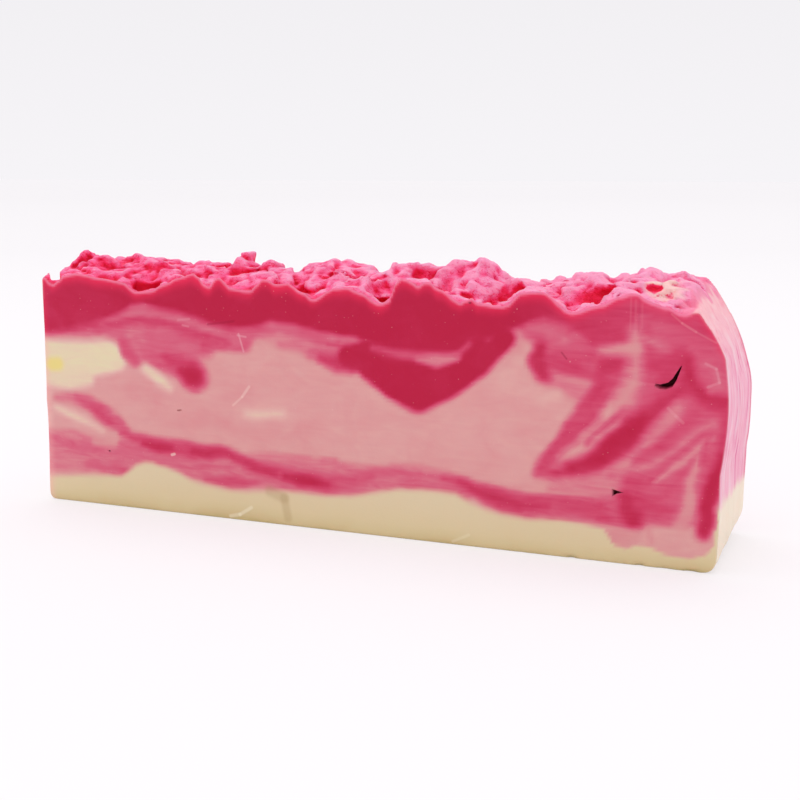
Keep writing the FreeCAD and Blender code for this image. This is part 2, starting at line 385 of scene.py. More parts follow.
def zip_rings(lower: Array, upper: Array, lower_run: Array, upper_run: Array) -> list[tuple]:
    """Fill the strip between two rings that run the same way round.

    Args:
        lower: Point numbers of the lower ring.
        upper: Point numbers of the upper ring.
        lower_run: How far round each lower point lies.
        upper_run: How far round each upper point lies.

    Returns:
        Triangles with their outer side anticlockwise.
    """
    lower, lower_run = _from_least(lower, lower_run)
    upper, upper_run = _from_least(upper, upper_run)
    triangles = []
    i = j = 0
    while i < len(lower) or j < len(upper):
        a, b = lower[i % len(lower)], upper[j % len(upper)]
        next_low = lower_run[i + 1] if i + 1 < len(lower) else math.inf
        next_high = upper_run[j + 1] if j + 1 < len(upper) else math.inf
        step_low = i < len(lower) and (j >= len(upper) or next_low <= next_high)
        if step_low:
            triangles.append((a, lower[(i + 1) % len(lower)], b))
            i += 1
        else:
            triangles.append((a, upper[(j + 1) % len(upper)], b))
            j += 1
    return triangles


def _from_least(ring: Array, run: Array) -> tuple[Array, Array]:
    """Turn a ring so that it starts at its least run."""
    shift = -int(np.argmin(run))
    return np.roll(ring, shift), np.roll(run, shift)


def mesh_object(name: str, points: Array, faces: list[tuple]) -> bpy.types.Object:
    """Make an object in the scene from points in millimetres and faces."""
    mesh = bpy.data.meshes.new(name)
    mesh.from_pydata((points * MM).tolist(), [], faces)
    made = bpy.data.objects.new(name, mesh)
    bpy.context.scene.collection.objects.link(made)
    return made


def points_of(mesh: bpy.types.Mesh) -> Array:
    """Return a mesh's points in millimetres, one row each."""
    values = np.zeros(len(mesh.vertices) * 3)
    mesh.vertices.foreach_get("co", values)
    return values.reshape(-1, 3) / MM


class Torn(Enum):
    """The two sizes in which the soft top tears."""

    PLATE = "plate"
    CRUMB = "crumb"


@dataclass(frozen=True)
class Scatter:
    """Uneven layout of torn plates over the top, as the solid has it."""

    pitch: float
    seed: int
    jitter: float = 0.8

    def middles(self, low: Array, high: Array) -> Array:
        """Return the middle of each plate, one row of x and y each.

        Args:
            low: The solid's lowest corner.
            high: Its highest corner.

        Returns:
            The middles.
        """
        chance = random.Random(self.seed)
        size = high - low
        columns, rows = round(size[0] / self.pitch), round(size[1] / self.pitch)
        places = []
        for column in range(columns):
            for row in range(rows):
                along = (column + 0.5 + self.jitter * (chance.random() - 0.5)) / columns
                across = (row + 0.5 + self.jitter * (chance.random() - 0.5)) / rows
                places.append((low[0] + along * size[0], low[1] + across * size[1]))
                for _ in range(3):
                    chance.random()
        return np.array(places)


@dataclass
class TornCrown:
    """The upper part of the bar: its torn top down to a seam just below the lowest rim."""

    walls: FrameWalls
    outline: Outline
    voxel: float = 0.76
    seam: float = 81.0
    seed: int = 11
    layouts: dict = field(default_factory=lambda: {Torn.PLATE: Scatter(11.5, 7),
                                                   Torn.CRUMB: Scatter(5.2, 23)})
    crevice: float = 2.0
    steepest: float = 0.45
    overshoot: float = 1.3
    shoulder: float = 14.5
    # Notch behind the front left corner: where its floor starts and ends, and its half width.
    notch: tuple = ((-126.2, -27.5, 88.6), (-138.0, -12.5, 85.4), 1.9)
    # Square crumb that stands up: middle, half sizes, turn.
    cube: tuple = ((-56.6, 2.0, 95.8), (2.6, 2.6, 3.6), 0.2)
    rim_reach: float = 2.1
    rounding: float = 0.5
    # Caves torn in behind the front rim: x, y, height above the ground, radii along, across, up.
    caves: tuple = (
        (-88.0, -19.5, 0.6, 7.5, 4.5, 3.4), (-57.0, -24.0, 0.4, 2.6, 3.0, 2.2),
        (-47.5, -19.0, 1.0, 3.4, 3.4, 2.8), (-15.0, -14.0, 1.2, 4.2, 3.6, 2.8),
        (-3.0, -12.0, 2.0, 4.0, 3.0, 2.2), (11.0, -21.5, 0.4, 4.6, 3.0, 2.2),
        (43.0, -21.5, 0.4, 2.8, 2.6, 2.0), (57.0, -15.5, 1.0, 5.0, 3.2, 2.4),
        (72.0, -19.5, 1.4, 3.4, 4.0, 3.0), (86.5, -18.5, 1.2, 8.0, 6.0, 5.2),
        (106.5, -15.5, 1.2, 3.2, 3.0, 2.4),
        (110.0, -7.0, 1.4, 3.4, 2.6, 2.2), (-108.0, -8.0, 1.2, 4.2, 3.0, 2.4),
        (-30.0, 3.0, 1.0, 4.4, 3.4, 2.6), (32.0, 15.0, 1.2, 4.2, 3.2, 2.4),
        (66.0, 12.0, 1.0, 5.0, 3.2, 2.4), (-72.0, 10.0, 1.0, 5.0, 3.6, 2.6),
        (96.0, 14.0, 1.0, 4.2, 3.2, 2.4), (0.0, 16.0, 0.8, 4.6, 3.2, 2.4),
    )

    def build(self) -> tuple[Array, Array]:
        """Build the torn crown's skin.

        Returns:
            Its points and quads, open at the seam.
        """
        margin = 2.5 * self.voxel
        low = self.walls.low - margin
        high = self.walls.high + margin + 1.0
        low[2] = self.seam - 0.5 * self.voxel
        shape = np.ceil((high - low) / self.voxel).astype(int) + 1
        self.grid = Grid(low, self.voxel, np.zeros(shape))
        xs, ys, zs = self.grid.axes()
        self.top_height = self._heights(xs, ys)
        x, y, z = np.meshgrid(xs, ys, zs, indexing="ij")
        torn = self._torn_field(x, y, z)
        side = np.maximum(y - self.outline.back, self.outline.front - y)
        ends = np.maximum(x - self.outline.end(1, y, z), self.outline.end(-1, y, z) - x)
        side = smooth_max(side, 0.8 * ends, 0.8)
        self.grid.values = smooth_max(torn, side, self.rounding)
        self.torn_share = smoothstep(-0.45, 0.35, torn - side)
        self.recess = self._recess()
        points, quads = skin_of(self.grid)
        return largest_piece(points, quads)

    def _heights(self, xs: Array, ys: Array) -> Array:
        """Return the solid's height over the plan grid, carried on past its edges."""
        edge = 0.3
        inner_x = np.clip(xs, self.walls.low[0] + 1.6, self.walls.high[0] - 1.6)
        inner_y = np.clip(ys, self.outline.front + edge, self.outline.back - edge)
        return np.array([[self.walls.height(x, y) for y in inner_y] for x in inner_x])

    def _torn_field(self, x: Array, y: Array, z: Array) -> Array:
        """Return the distance to the torn surface: leaning plates with crumbs and caves."""
        xs, ys, _ = self.grid.axes()
        bend = [ValueNoise(self.seed + number) for number in range(3)]
        warped = [axis + 1.0 * noise.at(x / 5.0, y / 5.0, z / 5.0)
                  for axis, noise in zip((x, y, z), bend)]
        height = self.top_height[:, :, None]
        plates = self.layouts[Torn.PLATE].middles(self.walls.low, self.walls.high)
        tops = [self._fit_plane(xs, ys, middle) for middle in plates]
        detail = self._crumb_heights(xs, ys, plates, tops)
        torn = 0.85 * (z - height + self.crevice)
        for number in range(len(plates)):
            torn = self._merge_plate(torn, warped, plates, number, tops[number], detail)
        torn = self._fold(torn, warped, x, y, z)
        torn = smooth_max(torn, 0.85 * (z - height - self.overshoot), 1.2)
        torn = self._add_cube(torn, warped)
        torn = self._carve(torn, warped)
        plain = 0.85 * (z - height)
        from_face = np.minimum(y - self.outline.front, self.outline.back - y)
        past_crest = x - (self.walls.high[0] - self.shoulder)
        near_rim = 1.0 - smoothstep(0.7, self.rim_reach, np.minimum(from_face, x - xs[3]))
        ragged = 2.2 * bend[1].at(y / 5.0, z / 5.0, x / 9.0)
        plain_share = np.maximum(0.98 * near_rim, smoothstep(-3.5, 1.0, past_crest + ragged))
        torn = torn + plain_share * (plain - torn)
        return self._cut_notch(torn, x, y, z)

    def _cut_notch(self, torn: Array, x: Array, y: Array, z: Array) -> Array:
        """Cut the notch that runs from the front rim out through the left end."""
        (x0, y0, z0), (x1, y1, z1), half = self.notch
        length = math.hypot(x1 - x0, y1 - y0)
        way_x, way_y = (x1 - x0) / length, (y1 - y0) / length
        along = (x - x0) * way_x + (y - y0) * way_y
        across = np.abs((y - y0) * way_x - (x - x0) * way_y) - half
        below = z0 + (z1 - z0) * along / length - z
        return smooth_max(torn, -smooth_max(across, below, 1.0), 0.5)

    def _fold(self, torn: Array, warped: list[Array], x: Array, y: Array, z: Array) -> Array:
        """Swell the torn surface into soft lumps with creases between, finer where it crumbled.

        Args:
            torn: The field of the plates.
            warped: Bent coordinates.
            x: True x of each place.
            y: True y of each place.
            z: True z of each place.

        Returns:
            The field with lumps, folds and crumbs on it.
        """
        noises = [ValueNoise(self.seed + 5 + number) for number in range(4)]
        lump = np.abs(noises[0].at(warped[0] / 6.5, warped[1] / 5.0, warped[2] / 5.0))
        fold = np.abs(noises[1].at(warped[0] / 4.2, warped[1] / 2.4, warped[2] / 2.0))
        crumb = np.abs(noises[2].at(x / 2.0, y / 2.0, z / 1.8))
        where = noises[3].at(x / 17.0, y / 15.0, 0.0 * z)
        crumbled = np.maximum(smoothstep(0.05, 0.45, where), smoothstep(-112.0, -122.0, x))
        crumbled = np.maximum(crumbled, smoothstep(96.0, 108.0, x))
        torn = torn - 1.5 * (lump - 0.3) - 0.75 * (1.0 - 0.6 * crumbled) * (fold - 0.3)
        return torn - (0.3 + 0.75 * crumbled) * (crumb - 0.3)

    def _fit_plane(self, xs: Array, ys: Array, middle: Array) -> Array:
        """Return the height and the two slopes of the solid's top round a plate's middle."""
        reach = 0.36 * self.layouts[Torn.PLATE].pitch
        dx, dy = np.meshgrid(xs - middle[0], ys - middle[1], indexing="ij")
        near = (np.hypot(dx, dy) < reach)
        known = np.column_stack([np.ones(near.sum()), dx[near], dy[near]])
        top = np.linalg.lstsq(known, self.top_height[near], rcond=None)[0]
        steepness = math.hypot(top[1], top[2])
        top[1:] *= min(1.0, self.steepest / max(steepness, 1e-6))
        return top

    def _crumb_heights(self, xs: Array, ys: Array, plates: Array, tops: list) -> Array:
        """Return how far each crumb of the solid stands off its plate, over the plan grid."""
        plan_x, plan_y = np.meshgrid(xs, ys, indexing="ij")
        nearest = self._nearest(plates, plan_x, plan_y)
        planes = np.array(tops)[nearest]
        middles = plates[nearest]
        level = (planes[..., 0] + planes[..., 1] * (plan_x - middles[..., 0])
                 + planes[..., 2] * (plan_y - middles[..., 1]))
        rest = self.top_height - level
        crumbs = self.layouts[Torn.CRUMB].middles(self.walls.low, self.walls.high)
        sway = ValueNoise(self.seed + 9)
        bent_x = plan_x + 1.4 * sway.at(plan_x / 3.0, plan_y / 3.0, 0.0 * plan_x)
        bent_y = plan_y + 1.4 * sway.at(plan_x / 3.0, plan_y / 3.0, 0.0 * plan_x + 7.5)
        cell = self._nearest(crumbs, bent_x, bent_y)
        size = len(crumbs)
        mean = np.bincount(cell.ravel(), rest.ravel(), size)
        mean /= np.maximum(np.bincount(cell.ravel(), minlength=size), 1)
        steps = np.clip(mean[cell], -1.6, 1.6)
        for axis in (0, 1):
            steps = (np.roll(steps, 1, axis) + 2.0 * steps + np.roll(steps, -1, axis)) / 4.0
        return steps

    @staticmethod
    def _nearest(middles: Array, x: Array, y: Array) -> Array:
        """Return the number of the nearest middle for each place."""
        best = np.full(x.shape, np.inf)
        number = np.zeros(x.shape, int)
        for index, (cx, cy) in enumerate(middles):
            away = (x - cx) ** 2 + (y - cy) ** 2
            closer = away < best
            best[closer] = away[closer]
            number[closer] = index
        return number

    def _merge_plate(self, torn: Array, warped: list[Array], plates: Array, number: int,
                     top: Array, detail: Array) -> Array:
        """Merge one leaning plate into the field around it.

        Args:
            torn: The field so far, changed in place.
            warped: Bent coordinates, so that the plates look soft.
            plates: The middles of all plates.
            number: Which plate.
            top: The height and slopes of its top.
            detail: How far the crumbs stand off it, over the plan grid.

        Returns:
            The field with the plate.
        """
        chance = np.random.default_rng(self.seed + 100 + number)
        middle = plates[number]
        pitch = self.layouts[Torn.PLATE].pitch
        reach = 1.25 * pitch
        slices = tuple(
            slice(max(0, int((middle[axis] - reach - self.grid.origin[axis]) / self.voxel)),
                  max(0, int((middle[axis] + reach - self.grid.origin[axis]) / self.voxel) + 1))
            for axis in range(2))
        x, y, z = (axis_values[slices] for axis_values in warped)
        dx, dy = x - middle[0], y - middle[1]
        slope = math.sqrt(1.0 + top[1] ** 2 + top[2] ** 2)
        above = z - (top[0] + top[1] * dx + top[2] * dy) - detail[slices][:, :, None]
        plate = above / slope
        offsets = plates - middle
        gaps = np.hypot(offsets[:, 0], offsets[:, 1])
        for other in np.argsort(gaps)[1:9]:
            if gaps[other] > 2.1 * pitch:
                continue
            way = offsets[other] / gaps[other]
            lean = chance.uniform(-0.45, 0.35)
            gap = chance.uniform(-1.1, 0.4)
            side = way[0] * dx + way[1] * dy - (gaps[other] / 2.0 - gap) + lean * (above + 2.0)
            plate = smooth_max(plate, side / math.hypot(1.0, lean), 1.8)
        torn[slices] = -smooth_max(-torn[slices], -plate, 1.1)
        return torn

    def _add_cube(self, torn: Array, warped: list[Array]) -> Array:
        """Set the one square crumb that stands up on the left half of the top."""
        (x, y, z), halves, turn = self.cube
        turned = (warped[0] - x + turn * (warped[1] - y), warped[1] - y, warped[2] - z)
        along, across, up = [np.abs(part) - half for part, half in zip(turned, halves)]
        cube = smooth_max(smooth_max(along, across, 0.9), up, 0.9)
        return -smooth_max(-torn, -cube, 0.4)

    def _carve(self, torn: Array, warped: list[Array]) -> Array:
        """Tear the caves out of the top, and keep where they are in `hollow`."""
        xs, ys, _ = self.grid.axes()
        self.hollow = np.zeros(torn.shape)
        for x, y, lift, along, across, up in self.caves:
            ground = self.top_height[np.abs(xs - x).argmin(), np.abs(ys - y).argmin()]
            offsets = ((warped[0] - x) / along, (warped[1] - y) / across,
                       (warped[2] - ground - lift) / up)
            reach = np.sqrt(sum(part ** 2 for part in offsets))
            torn = smooth_max(torn, -(reach - 1.0) * min(across, up), 0.6)
            self.hollow = np.maximum(self.hollow, smoothstep(1.35, 0.95, reach))
        return torn

    def _recess(self) -> Array:
        """Return how deep each place sits among its surroundings, about 0 to 1."""
        solid = np.clip(0.5 - self.grid.values / self.voxel, 0.0, 1.0)
        blurred = solid
        for axis in range(3):
            for _ in range(2):
                blurred = self._box_blur(blurred, axis, 2)
        return blurred

    @staticmethod
    def _box_blur(values: Array, axis: int, reach: int) -> Array:
        """Average a field along one axis over a few grid steps each way."""
        pad = [(reach + 1, reach) if number == axis else (0, 0) for number in range(3)]
        summed = np.cumsum(np.pad(values, pad, mode="edge"), axis=axis)
        width = 2 * reach + 1
        upper = np.take(summed, range(width, summed.shape[axis]), axis)
        lower = np.take(summed, range(0, summed.shape[axis] - width), axis)
        return (upper - lower) / width


@dataclass
class CastBlock:
    """The lower part of the bar: cut faces, moulded ends and bottom, up to the seam."""

    outline: Outline
    seam: float
    counts: tuple[int, int, int] = (240, 44, 120)
    level_step: float = 1.15
    edge_round: float = 0.7
    sole_step: float = 4.0
    sole_inset: float = 1.6
    # Creases and slow swells of the moulded ends, and the height over which they die out.
    crease_depth: float = 0.45
    swell_depth: float = 0.25
    crease_fade: float = 16.0
    # Chips of the lower front edge: where along the bar they set in, and how deep they are.
    chip_start: tuple[float, float] = (60.0, 80.0)
    chip_depth: float = 0.9

    def levels(self) -> Array:
        """Return the heights of the rings, close together round the lower edge."""
        low = np.array([0.0, 0.08, 0.25, 0.5, 0.85, 1.35, 2.0, 2.8])
        count = int((self.seam - 0.7 - low[-1]) / self.level_step)
        return np.concatenate([low, np.linspace(low[-1], self.seam - 0.7, count + 1)[1:]])

    def build(self) -> tuple[Array, list[tuple], Array]:
        """Build the block's skin.

        Returns:
            Its points, its faces, and the point numbers of its highest ring.
        """
        rings = []
        for z in self.levels():
            lost = max(self.edge_round - z, 0.0)
            lift = self.edge_round - math.sqrt(self.edge_round ** 2 - lost ** 2)
            ring = self.outline.ring(max(z, self.outline.lowest), self.counts, lift)
            ring[:, 2] = z
            rings.append(self._waver(ring))
        size = len(rings[0])
        points = np.concatenate(rings)
        faces = []
        for level in range(len(rings) - 1):
            base = level * size
            for place in range(size):
                after = (place + 1) % size
                faces.append((base + place, base + after, base + size + after,
                              base + size + place))
        points, sole = self._close_sole(points, size)
        return points, faces + sole, np.arange(size) + (len(rings) - 1) * size

    def _waver(self, ring: Array) -> Array:
        """Wrinkle the moulded ends where a paper lining lay, and chip the lower front edge."""
        wrinkle = ValueNoise(71)
        x, y, z = ring.T
        for side in (-1, 1):
            wall = self.outline.end(side, y, z)
            on_wall = smoothstep(1.2, 0.2, np.abs(x - wall)) * smoothstep(0.0, 3.0, z)
            on_wall *= smoothstep(self.seam, self.seam - self.crease_fade, z)
            drift = 1.4 * wrinkle.at(y / 30.0, z / 26.0, np.full_like(z, side * 3.0))
            crease = wrinkle.at((y + drift) / 2.3, z / 34.0, np.full_like(z, side * 9.0))
            swell = wrinkle.at(y / 14.0, z / 18.0, np.full_like(z, side * 5.0))
            depth = self.crease_depth * np.abs(crease) + self.swell_depth * (1.0 + swell)
            ring[:, 0] -= side * on_wall * depth
        chip = wrinkle.at(x / 2.6, np.zeros_like(x), np.full_like(x, 31.5))
        where = smoothstep(*self.chip_start, x) * smoothstep(0.35, 0.75, chip)
        front = smoothstep(1.5, 0.3, np.abs(y - self.outline.front)) * smoothstep(1.5, 0.2, z)
        ring[:, 1] += self.chip_depth * where * front
        return ring

    def _close_sole(self, points: Array, size: int) -> tuple[Array, list[tuple]]:
        """Close the bottom with a coarse even grid inside the lowest ring."""
        ring = points[:size]
        low = ring.min(axis=0) + self.sole_inset
        high = ring.max(axis=0) - self.sole_inset
        behind = ring[ring[:, 1] > self.outline.back - 1.0]
        high[0] = min(high[0], behind[:, 0].max() - self.sole_inset)
        columns = int((high[0] - low[0]) / self.sole_step)
        rows = int((high[1] - low[1]) / self.sole_step)
        xs = np.linspace(low[0], high[0], columns + 1)
        ys = np.linspace(low[1], high[1], rows + 1)
        grid = np.array([(x, y, 0.0) for x in xs for y in ys])
        start = len(points)

        def number(column: int, row: int) -> int:
            """Return a grid point's number."""
            return start + column * (rows + 1) + row

        faces = [(number(c, r), number(c, r + 1), number(c + 1, r + 1), number(c + 1, r))
                 for c in range(columns) for r in range(rows)]
        border = ([number(c, 0) for c in range(columns)]
                  + [number(columns, r) for r in range(rows)]
                  + [number(c, rows) for c in range(columns, 0, -1)]
                  + [number(0, r) for r in range(rows, 0, -1)])
        points = np.concatenate([points, grid])
        spoke = [self._turn(points[np.array(part)]) for part in (border, range(size))]
        faces += zip_rings(np.array(border), np.arange(size), spoke[0], spoke[1])
        return points, faces

    def _turn(self, points: Array) -> Array:
        """Return how far round the bottom each point lies, from the front left corner."""
        half_long = np.abs(points[:, 0]).max()
        half_deep = np.abs(points[:, 1]).max()
        angle = np.arctan2(points[:, 1] / half_deep, points[:, 0] / half_long)
        return np.mod(angle + 0.75 * math.pi + 1e-6, 2.0 * math.pi)


@dataclass(frozen=True)
class Stroke:
    """A ribbon of one pour drawn through another: path points of x, z and half width."""

    tone: float
    path: tuple
    feather: float = 1.6
    strength: float = 1.0

    def mask(self, x: Array, z: Array) -> Array:
        """Return how much of the ribbon covers each place."""
        gap = np.full_like(x, 1.0e6)
        for (x0, z0, w0), (x1, z1, w1) in zip(self.path, self.path[1:]):
            run = (x1 - x0) ** 2 + (z1 - z0) ** 2
            share = np.clip(((x - x0) * (x1 - x0) + (z - z0) * (z1 - z0)) / run, 0.0, 1.0)
            away = np.hypot(x - x0 - share * (x1 - x0), z - z0 - share * (z1 - z0))
            gap = np.minimum(gap, away - (w0 + (w1 - w0) * share))
        return self.strength * (1.0 - smoothstep(-self.feather, self.feather, gap))


@dataclass(frozen=True)
class Marbling:
    """Where the pours lie, as a tone: 0 is cream, 0.3 dusty pink, 0.65 magenta, 1 crimson.

    Places are measured on the front face in mm, and the pours drift towards the back.
    """

    plain: float = 0.3
    # Lower border of the crimson pour under the top.
    crimson_border: tuple = (
        (-134, 68), (-122, 69), (-112, 71), (-104, 73.5), (-98, 76), (-92, 79.5), (-86, 80.5),
        (-80, 79.5), (-72, 78), (-64, 76.2), (-56, 74), (-48, 72.5), (-40, 73.5), (-31, 75.5),
        (-22, 75), (-12, 73), (-2, 71.5), (8, 70), (22, 68.5), (38, 69), (46, 71),
        (54, 74), (60, 76.5), (66, 80), (72, 81.5), (80, 80), (84, 78), (88, 74), (96, 75.5),
        (100, 81), (104, 85), (110, 83), (122, 80), (134, 72),
    )
    # Crimson's tone along the bar: weaker at both ends.
    crimson_tones: tuple = ((-134, 0.93), (-112, 0.95), (-84, 1.0), (58, 1.0), (78, 0.9),
                            (98, 0.84), (108, 0.8), (134, 0.82))
    # Upper border of the cream pour at the bottom.
    cream_border: tuple = (
        (-134, 9), (-125, 10), (-115, 11), (-105, 12), (-98.5, 12.6), (-95, 14.8), (-92, 17.4),
        (-88, 19), (-84, 19), (-78, 17.6), (-72, 15.6), (-68, 13.6), (-62, 12), (-50, 11.2),
        (-42, 11), (-34, 12.3), (-25, 13.2), (-10, 13), (0, 14), (10, 16), (18, 18), (24, 18.5),
        (34, 18.4), (40, 18), (46, 16), (52, 13.8), (58, 12.4), (66, 11.8), (76, 12.6),
        (86, 12.6), (93, 12), (96, 9), (98, 6.2), (102, 5.3), (106, 7), (110, 6.6), (114, 5.2),
        (122, 4.6), (128, 6.5), (130.6, 10), (131.4, 20), (134, 23.5),
    )
    left_strokes: tuple = (
        Stroke(0.03, ((-138, 58, 7), (-122, 56.5, 8), (-108, 58.5, 6.5), (-100, 59.5, 5.5)), 1.7),
        Stroke(0.06, ((-134, 50, 4.0), (-121, 48.5, 3.4), (-113, 50, 2.5)), 2.2),
        Stroke(0.2, ((-134, 40, 2.5), (-133, 30, 1.5)), 2.5),
        Stroke(0.36, ((-92, 46, 4), (-84, 45, 4.5)), 3.5, 0.8),
        Stroke(0.36, ((-80, 37, 3), (-58, 38, 4), (-44, 35, 3)), 4.0, 0.7),
        Stroke(0.36, ((-50, 48, 3), (-42, 49, 3)), 3.0, 0.7),
        Stroke(0.34, ((-36, 34, 3), (-14, 37, 4)), 4.0, 0.6),
        Stroke(0.75, ((-138, 69, 2.4), (-118, 69.4, 2.4), (-108, 70, 2.4)), 1.6),
        # The rose cloud above the cream, its dark drop and the arcs that cross it.
        Stroke(0.6, ((-104, 70, 2.4), (-94, 67, 5), (-84, 66, 6.5), (-72, 65, 7.5),
                     (-60, 67, 5.5)), 2.4),
        Stroke(0.66, ((-98, 69, 1.4), (-95, 63.5, 2.4), (-91, 58.5, 1.8)), 1.7),
        Stroke(0.68, ((-86, 61, 3), (-78, 59, 4), (-72, 58, 4)), 2.4),
        Stroke(0.7, ((-114, 70, 2.0), (-100, 71.5, 2.8), (-92, 74.5, 4.5), (-80, 75.5, 4.5),
                     (-70, 73.5, 4.5), (-60, 71, 4.5), (-50, 69, 4.5), (-44, 68, 3.5)), 2.0),
        Stroke(0.5, ((-92, 68.6, 1.4), (-87, 67.4, 1.6)), 2.4, 0.8),
        Stroke(0.8, ((-114, 70.8, 1.2), (-98, 72.4, 1.4), (-88, 74.4, 1.2), (-78, 74, 1.2),
                     (-68, 71.6, 1.4), (-58, 69.4, 1.4)), 1.3),
        Stroke(0.56, ((-106, 72.8, 0.5), (-96, 75.6, 0.9), (-88, 77.8, 1.1), (-80, 77.8, 1.2),
                      (-71, 75.6, 1.3), (-62, 73.2, 1.1), (-53, 71, 0.9), (-45, 69, 0.7)), 1.2),
        Stroke(0.8, ((-60, 66.5, 1.6), (-50, 68, 2.0), (-45, 66.8, 1.0)), 2.0, 0.9),
        Stroke(0.84, ((-76, 60, 1.8), (-70, 58, 3.6), (-66, 56, 5.4), (-64, 54, 5.4)), 2.4),
        Stroke(0.97, ((-70, 56, 1.4), (-66, 54.5, 3.0), (-63.5, 54, 2.6)), 2.4),
        Stroke(0.56, ((-70, 66, 0.8), (-66, 63.6, 1.0)), 1.6, 0.7),
        Stroke(0.74, ((-97, 65.5, 1.6), (-94, 61.5, 2.2), (-90.5, 59, 1.4)), 1.7),
        Stroke(0.07, ((-86, 56, 1.8), (-80.5, 52.6, 2.4), (-75, 49.2, 1.2)), 2.2),
        Stroke(0.42, ((-38, 70.5, 2.4), (-28, 69.5, 2.8), (-18, 68.5, 3.2), (-12, 66.5, 3.2)), 2.2),
        Stroke(0.64, ((-46, 69, 3.0), (-38, 72, 2.0), (-28, 73.6, 1.4), (-18, 72, 2.2),
                      (-10, 69.5, 2.6)), 1.8),
        Stroke(0.58, ((-28, 68.4, 1.4), (-20, 67.6, 2.0)), 2.2, 0.8),
        Stroke(0.34, ((-37, 67.6, 0.8), (-31, 68.2, 1.2)), 1.8, 0.8),
        Stroke(0.04, ((-42, 41.4, 0.8), (-34, 41.2, 1.6), (-27, 42, 0.8)), 2.8, 0.8),
        Stroke(0.2, ((-27, 35.5, 0.5), (-24, 36.5, 0.5)), 2.0, 0.6),
        Stroke(0.5, ((-128, 41.6, 1.2), (-121, 42.4, 1.8), (-114, 41, 2.8)), 2.0),
        Stroke(0.68, ((-118, 42.6, 0.9), (-111.5, 39.6, 3.0), (-106, 36.4, 4.0),
                      (-101.5, 33.8, 3.4), (-96.5, 30.4, 1.8)), 1.8),
        Stroke(0.8, ((-112, 39, 0.5), (-106.5, 35.5, 1.5), (-103.5, 33.8, 1.0)), 1.8, 0.7),
        Stroke(0.12, ((-129, 37.4, 1.2), (-121, 35.4, 1.6), (-113, 32.4, 1.3),
                      (-107.5, 30.2, 0.6)), 1.8),
    )
    foot_strokes: tuple = (
        Stroke(0.53, ((-138, 19.5, 9), (-122, 21, 8), (-110, 19.5, 7), (-100, 18.5, 6),
                      (-90, 21.5, 3.5)), 2.0),
        Stroke(0.62, ((-133, 26, 1.4), (-122, 23.5, 1.8), (-108, 21.8, 1.4), (-94, 21, 1.6)), 2.0),
        Stroke(0.66, ((-114, 15, 1.6), (-104, 15.6, 2.2), (-97, 15.6, 1.6)), 2.2),
        Stroke(0.42, ((-130, 15.5, 1.0), (-120, 16.8, 1.0)), 2.8, 0.7),
        Stroke(0.42, ((-131, 28.6, 0.4), (-124, 27, 0.6), (-117, 25.8, 0.4)), 1.3, 0.8),
        Stroke(0.34, ((-110, 25.4, 1.2), (-103, 25.2, 2.0), (-98, 25.4, 0.9)), 1.9),
        Stroke(0.58, ((-98, 24.5, 2), (-86, 23, 4.4), (-74, 22, 5), (-62, 19.5, 6),
                      (-50, 18, 6.2), (-40, 19, 5.8), (-28, 19.6, 5.8), (-10, 20, 6.2),
                      (4, 20.4, 5.2), (18, 22, 4.2), (32, 22.4, 3.8), (44, 20.6, 4.2)), 1.7),
        Stroke(0.46, ((-40, 24.8, 1.4), (-24, 25, 1.8), (-8, 24.6, 1.8)), 1.8, 0.7),
        Stroke(0.78, ((-99, 29, 1.0), (-90, 27.4, 2.4), (-78, 26, 2.8), (-64, 25, 3.0),
                      (-54, 25.4, 2.8), (-47, 24, 2.6), (-40, 21.6, 2.4), (-30, 19.6, 2.6),
                      (-20, 18.6, 3.0), (-10, 18, 2.8), (0, 19.2, 1.9), (8, 21.6, 1.3)), 1.6),
        Stroke(0.92, ((-88, 25.8, 0.8), (-81, 25.3, 1.9), (-76, 25.2, 1.0)), 1.5),
        Stroke(0.88, ((-66, 24.6, 1.0), (-58, 24.8, 1.9), (-51, 25.4, 1.2), (-45, 23.2, 1.2),
                      (-38, 20.8, 1.4), (-31, 19.4, 1.2)), 1.5),
        Stroke(0.94, ((-27, 18.6, 1.0), (-19, 18.2, 1.9), (-13, 17.8, 1.6), (-6, 17.6, 0.7)), 1.5),
        Stroke(0.66, ((3, 20.8, 0.8), (10, 23, 1.2), (18, 24.8, 1.2), (27, 25.2, 0.8)), 1.4),
        Stroke(0.48, ((16, 27, 0.5), (28, 27.6, 0.7), (38, 26, 0.7)), 1.4),
        Stroke(0.62, ((20, 20.6, 0.9), (32, 20.8, 0.9)), 1.6, 0.8),
        Stroke(0.7, ((-6, 17.4, 1.0), (6, 18.6, 0.8)), 1.6, 0.8),
        Stroke(0.5, ((-42, 25.6, 0.5), (-30, 26.4, 0.6), (-16, 26.9, 0.5)), 1.2, 0.8),
        Stroke(0.66, ((-11, 25.8, 0.7), (-6, 26.2, 0.9)), 1.4, 0.8),
        Stroke(0.78, ((-60, 14, 1.0), (-52, 14.4, 1.9), (-44, 14.6, 1.7), (-38, 15, 0.6)), 1.6),
        Stroke(0.46, ((-56, 21.6, 0.4), (-50, 22, 0.8), (-46, 20.4, 0.6)), 1.2, 0.8),
        Stroke(0.77, ((36, 23.4, 1.2), (45, 22, 2.4), (52, 19.6, 3.6), (59, 17.4, 4.2),
                      (66, 16.6, 4.2), (76, 16.8, 4.2), (88, 18.2, 4.6), (98, 19, 5.5)), 1.6),
        Stroke(0.88, ((42, 22.6, 0.8), (51, 20, 1.5), (58, 17.8, 1.8), (66, 16.4, 1.4),
                      (74, 17, 1.0)), 1.6),
        Stroke(0.6, ((66, 14.2, 0.5), (78, 14.4, 0.6), (90, 14.6, 0.5)), 1.3, 0.8),
    )
